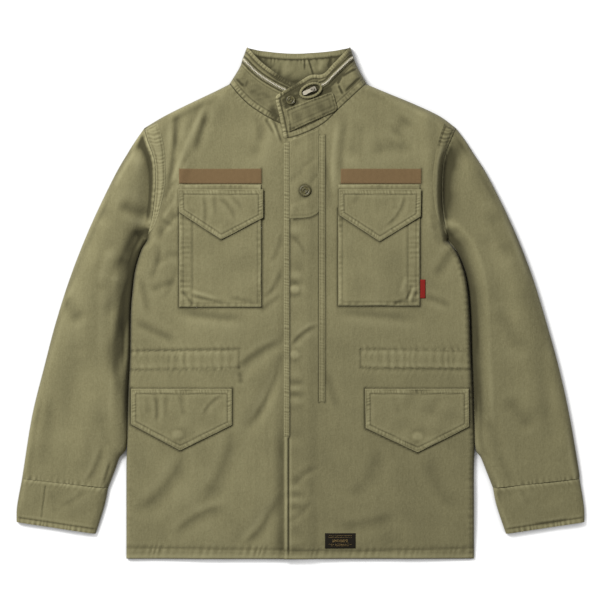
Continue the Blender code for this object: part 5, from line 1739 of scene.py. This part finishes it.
# Painted highlight on the roll's top, painted shade under it and between flutes, darker all over
worn = 0.35 * np.sin(rounded) ** 3 - 0.2 + 0.15 * np.sin(FLUTES * turn)[:, None, None]
new_piece(
    "zip_end_roll", points.reshape(-1, 3), faces, olive_sateen, "zip_end_rim",
    worn.reshape(-1),
)
# Painted shade inside the zip's end, round its roll and on the tab beside it
rim_line = straight(*middle, middle[0])
floor_line = straight(np.array(ZIP_END) - 9 * long_way, np.array(ZIP_END) + 9 * long_way)
for piece in collar_pieces["left"]:
    paint_shade_along(piece, rim_line, 4.0, 0.9)
    paint_shade_along(piece, floor_line, 8.0, 1.0)
paint_shade_along(neck_tab, rim_line, 3.5, 0.8)

# The metal: a cast zip slider and its pull, nickel plated, and two snap caps pressed from brass
# sheet, dished in the middle and painted dark olive. The snaps are riveted through the cloth.
for node in ("zip_slider", "zip_pull"):
    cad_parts[node].data.materials.clear()
    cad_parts[node].data.materials.append(nickel)


def painted(name, light, dark):
    """Stoved olive paint on brass, satin, with thin worn spots that show the darker primer."""
    made, nodes, shader = new_material(name)
    place = add(nodes, "TexCoord").outputs["Object"]
    rub = add(nodes, "TexNoise", {"Vector": place, "Scale": 1 / 0.0025, "Detail": 4.0})
    share = add(nodes, "MapRange", {"Value": rub.outputs[0], "From Min": 0.4, "From Max": 0.65})
    tints = {0: share.outputs[0], 6: srgb(dark), 7: srgb(light)}
    colour = add(nodes, "Mix", tints, data_type="RGBA")
    relief = add(nodes, "Bump", {"Strength": 0.2, "Distance": 0.0002, "Height": rub.outputs[0]})
    feed(shader, {"Base Color": colour.outputs[2], "Normal": relief.outputs[0], "Roughness": 0.5})
    feed(shader, {"Specular IOR Level": 0.3, "Coat Weight": 0.05, "Coat Roughness": 0.35})
    return made


olive_paint = painted("stoved olive paint", "#544F2F", "#36321C")
SNAP_PROFILE = (
    # share of the cap's radius, and height: a rolled rim, a trough and a dished stud
    (1.0, 0.0),
    (1.0, 0.8),
    (0.94, 1.3),
    (0.8, 1.5),
    (0.66, 1.2),
    (0.58, 0.9),
    (0.52, 1.3),
    (0.45, 2.1),
    (0.36, 2.3),
    (0.28, 1.8),
    (0.2, 0.9),
    (0.0, 0.7),
)
# Across, up, radius, and how far the cap stands off its solid's underside
SNAPS = {"fly_snap": (7.4, 588.0, 9.0, 0.5), "neck_snap": (*NECK_SNAP, 7.2, 0.0)}
turn = np.linspace(0, 2 * math.pi, 56, endpoint=False)


def circle(x, up, radius):
    return np.stack([x + radius * np.cos(turn), up + radius * np.sin(turn)], axis=-1)


for node, (x, up, radius, lift) in SNAPS.items():
    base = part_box(node)[0][2] * 1000 + lift
    rings = [
        np.column_stack([circle(x, up, radius * share), 0 * turn + base + rise])
        for share, rise in SNAP_PROFILE[:-1]
    ]
    points = np.concatenate(rings + [[(x, up, base + SNAP_PROFILE[-1][1])]])
    index = np.arange(len(turn) * len(rings)).reshape(len(rings), -1)
    faces = []
    for low, high in zip(index[:-1], index[1:]):
        faces += np.stack([low, np.roll(low, -1), np.roll(high, -1), high], axis=-1).tolist()
    faces += [(a, b, len(points) - 1) for a, b in zip(index[-1], np.roll(index[-1], -1))]
    faces.append(index[0][::-1].tolist())
    new_piece(node.replace("snap", "stud"), points, faces, olive_paint, node)
    # Painted shade round the cap's edge
    edge = circle(x, up, radius)
    for piece in [facing] if node == "fly_snap" else collar_pieces["left"]:
        paint_shade_along(piece, straight(*edge, edge[0]), 2.5, 0.9)
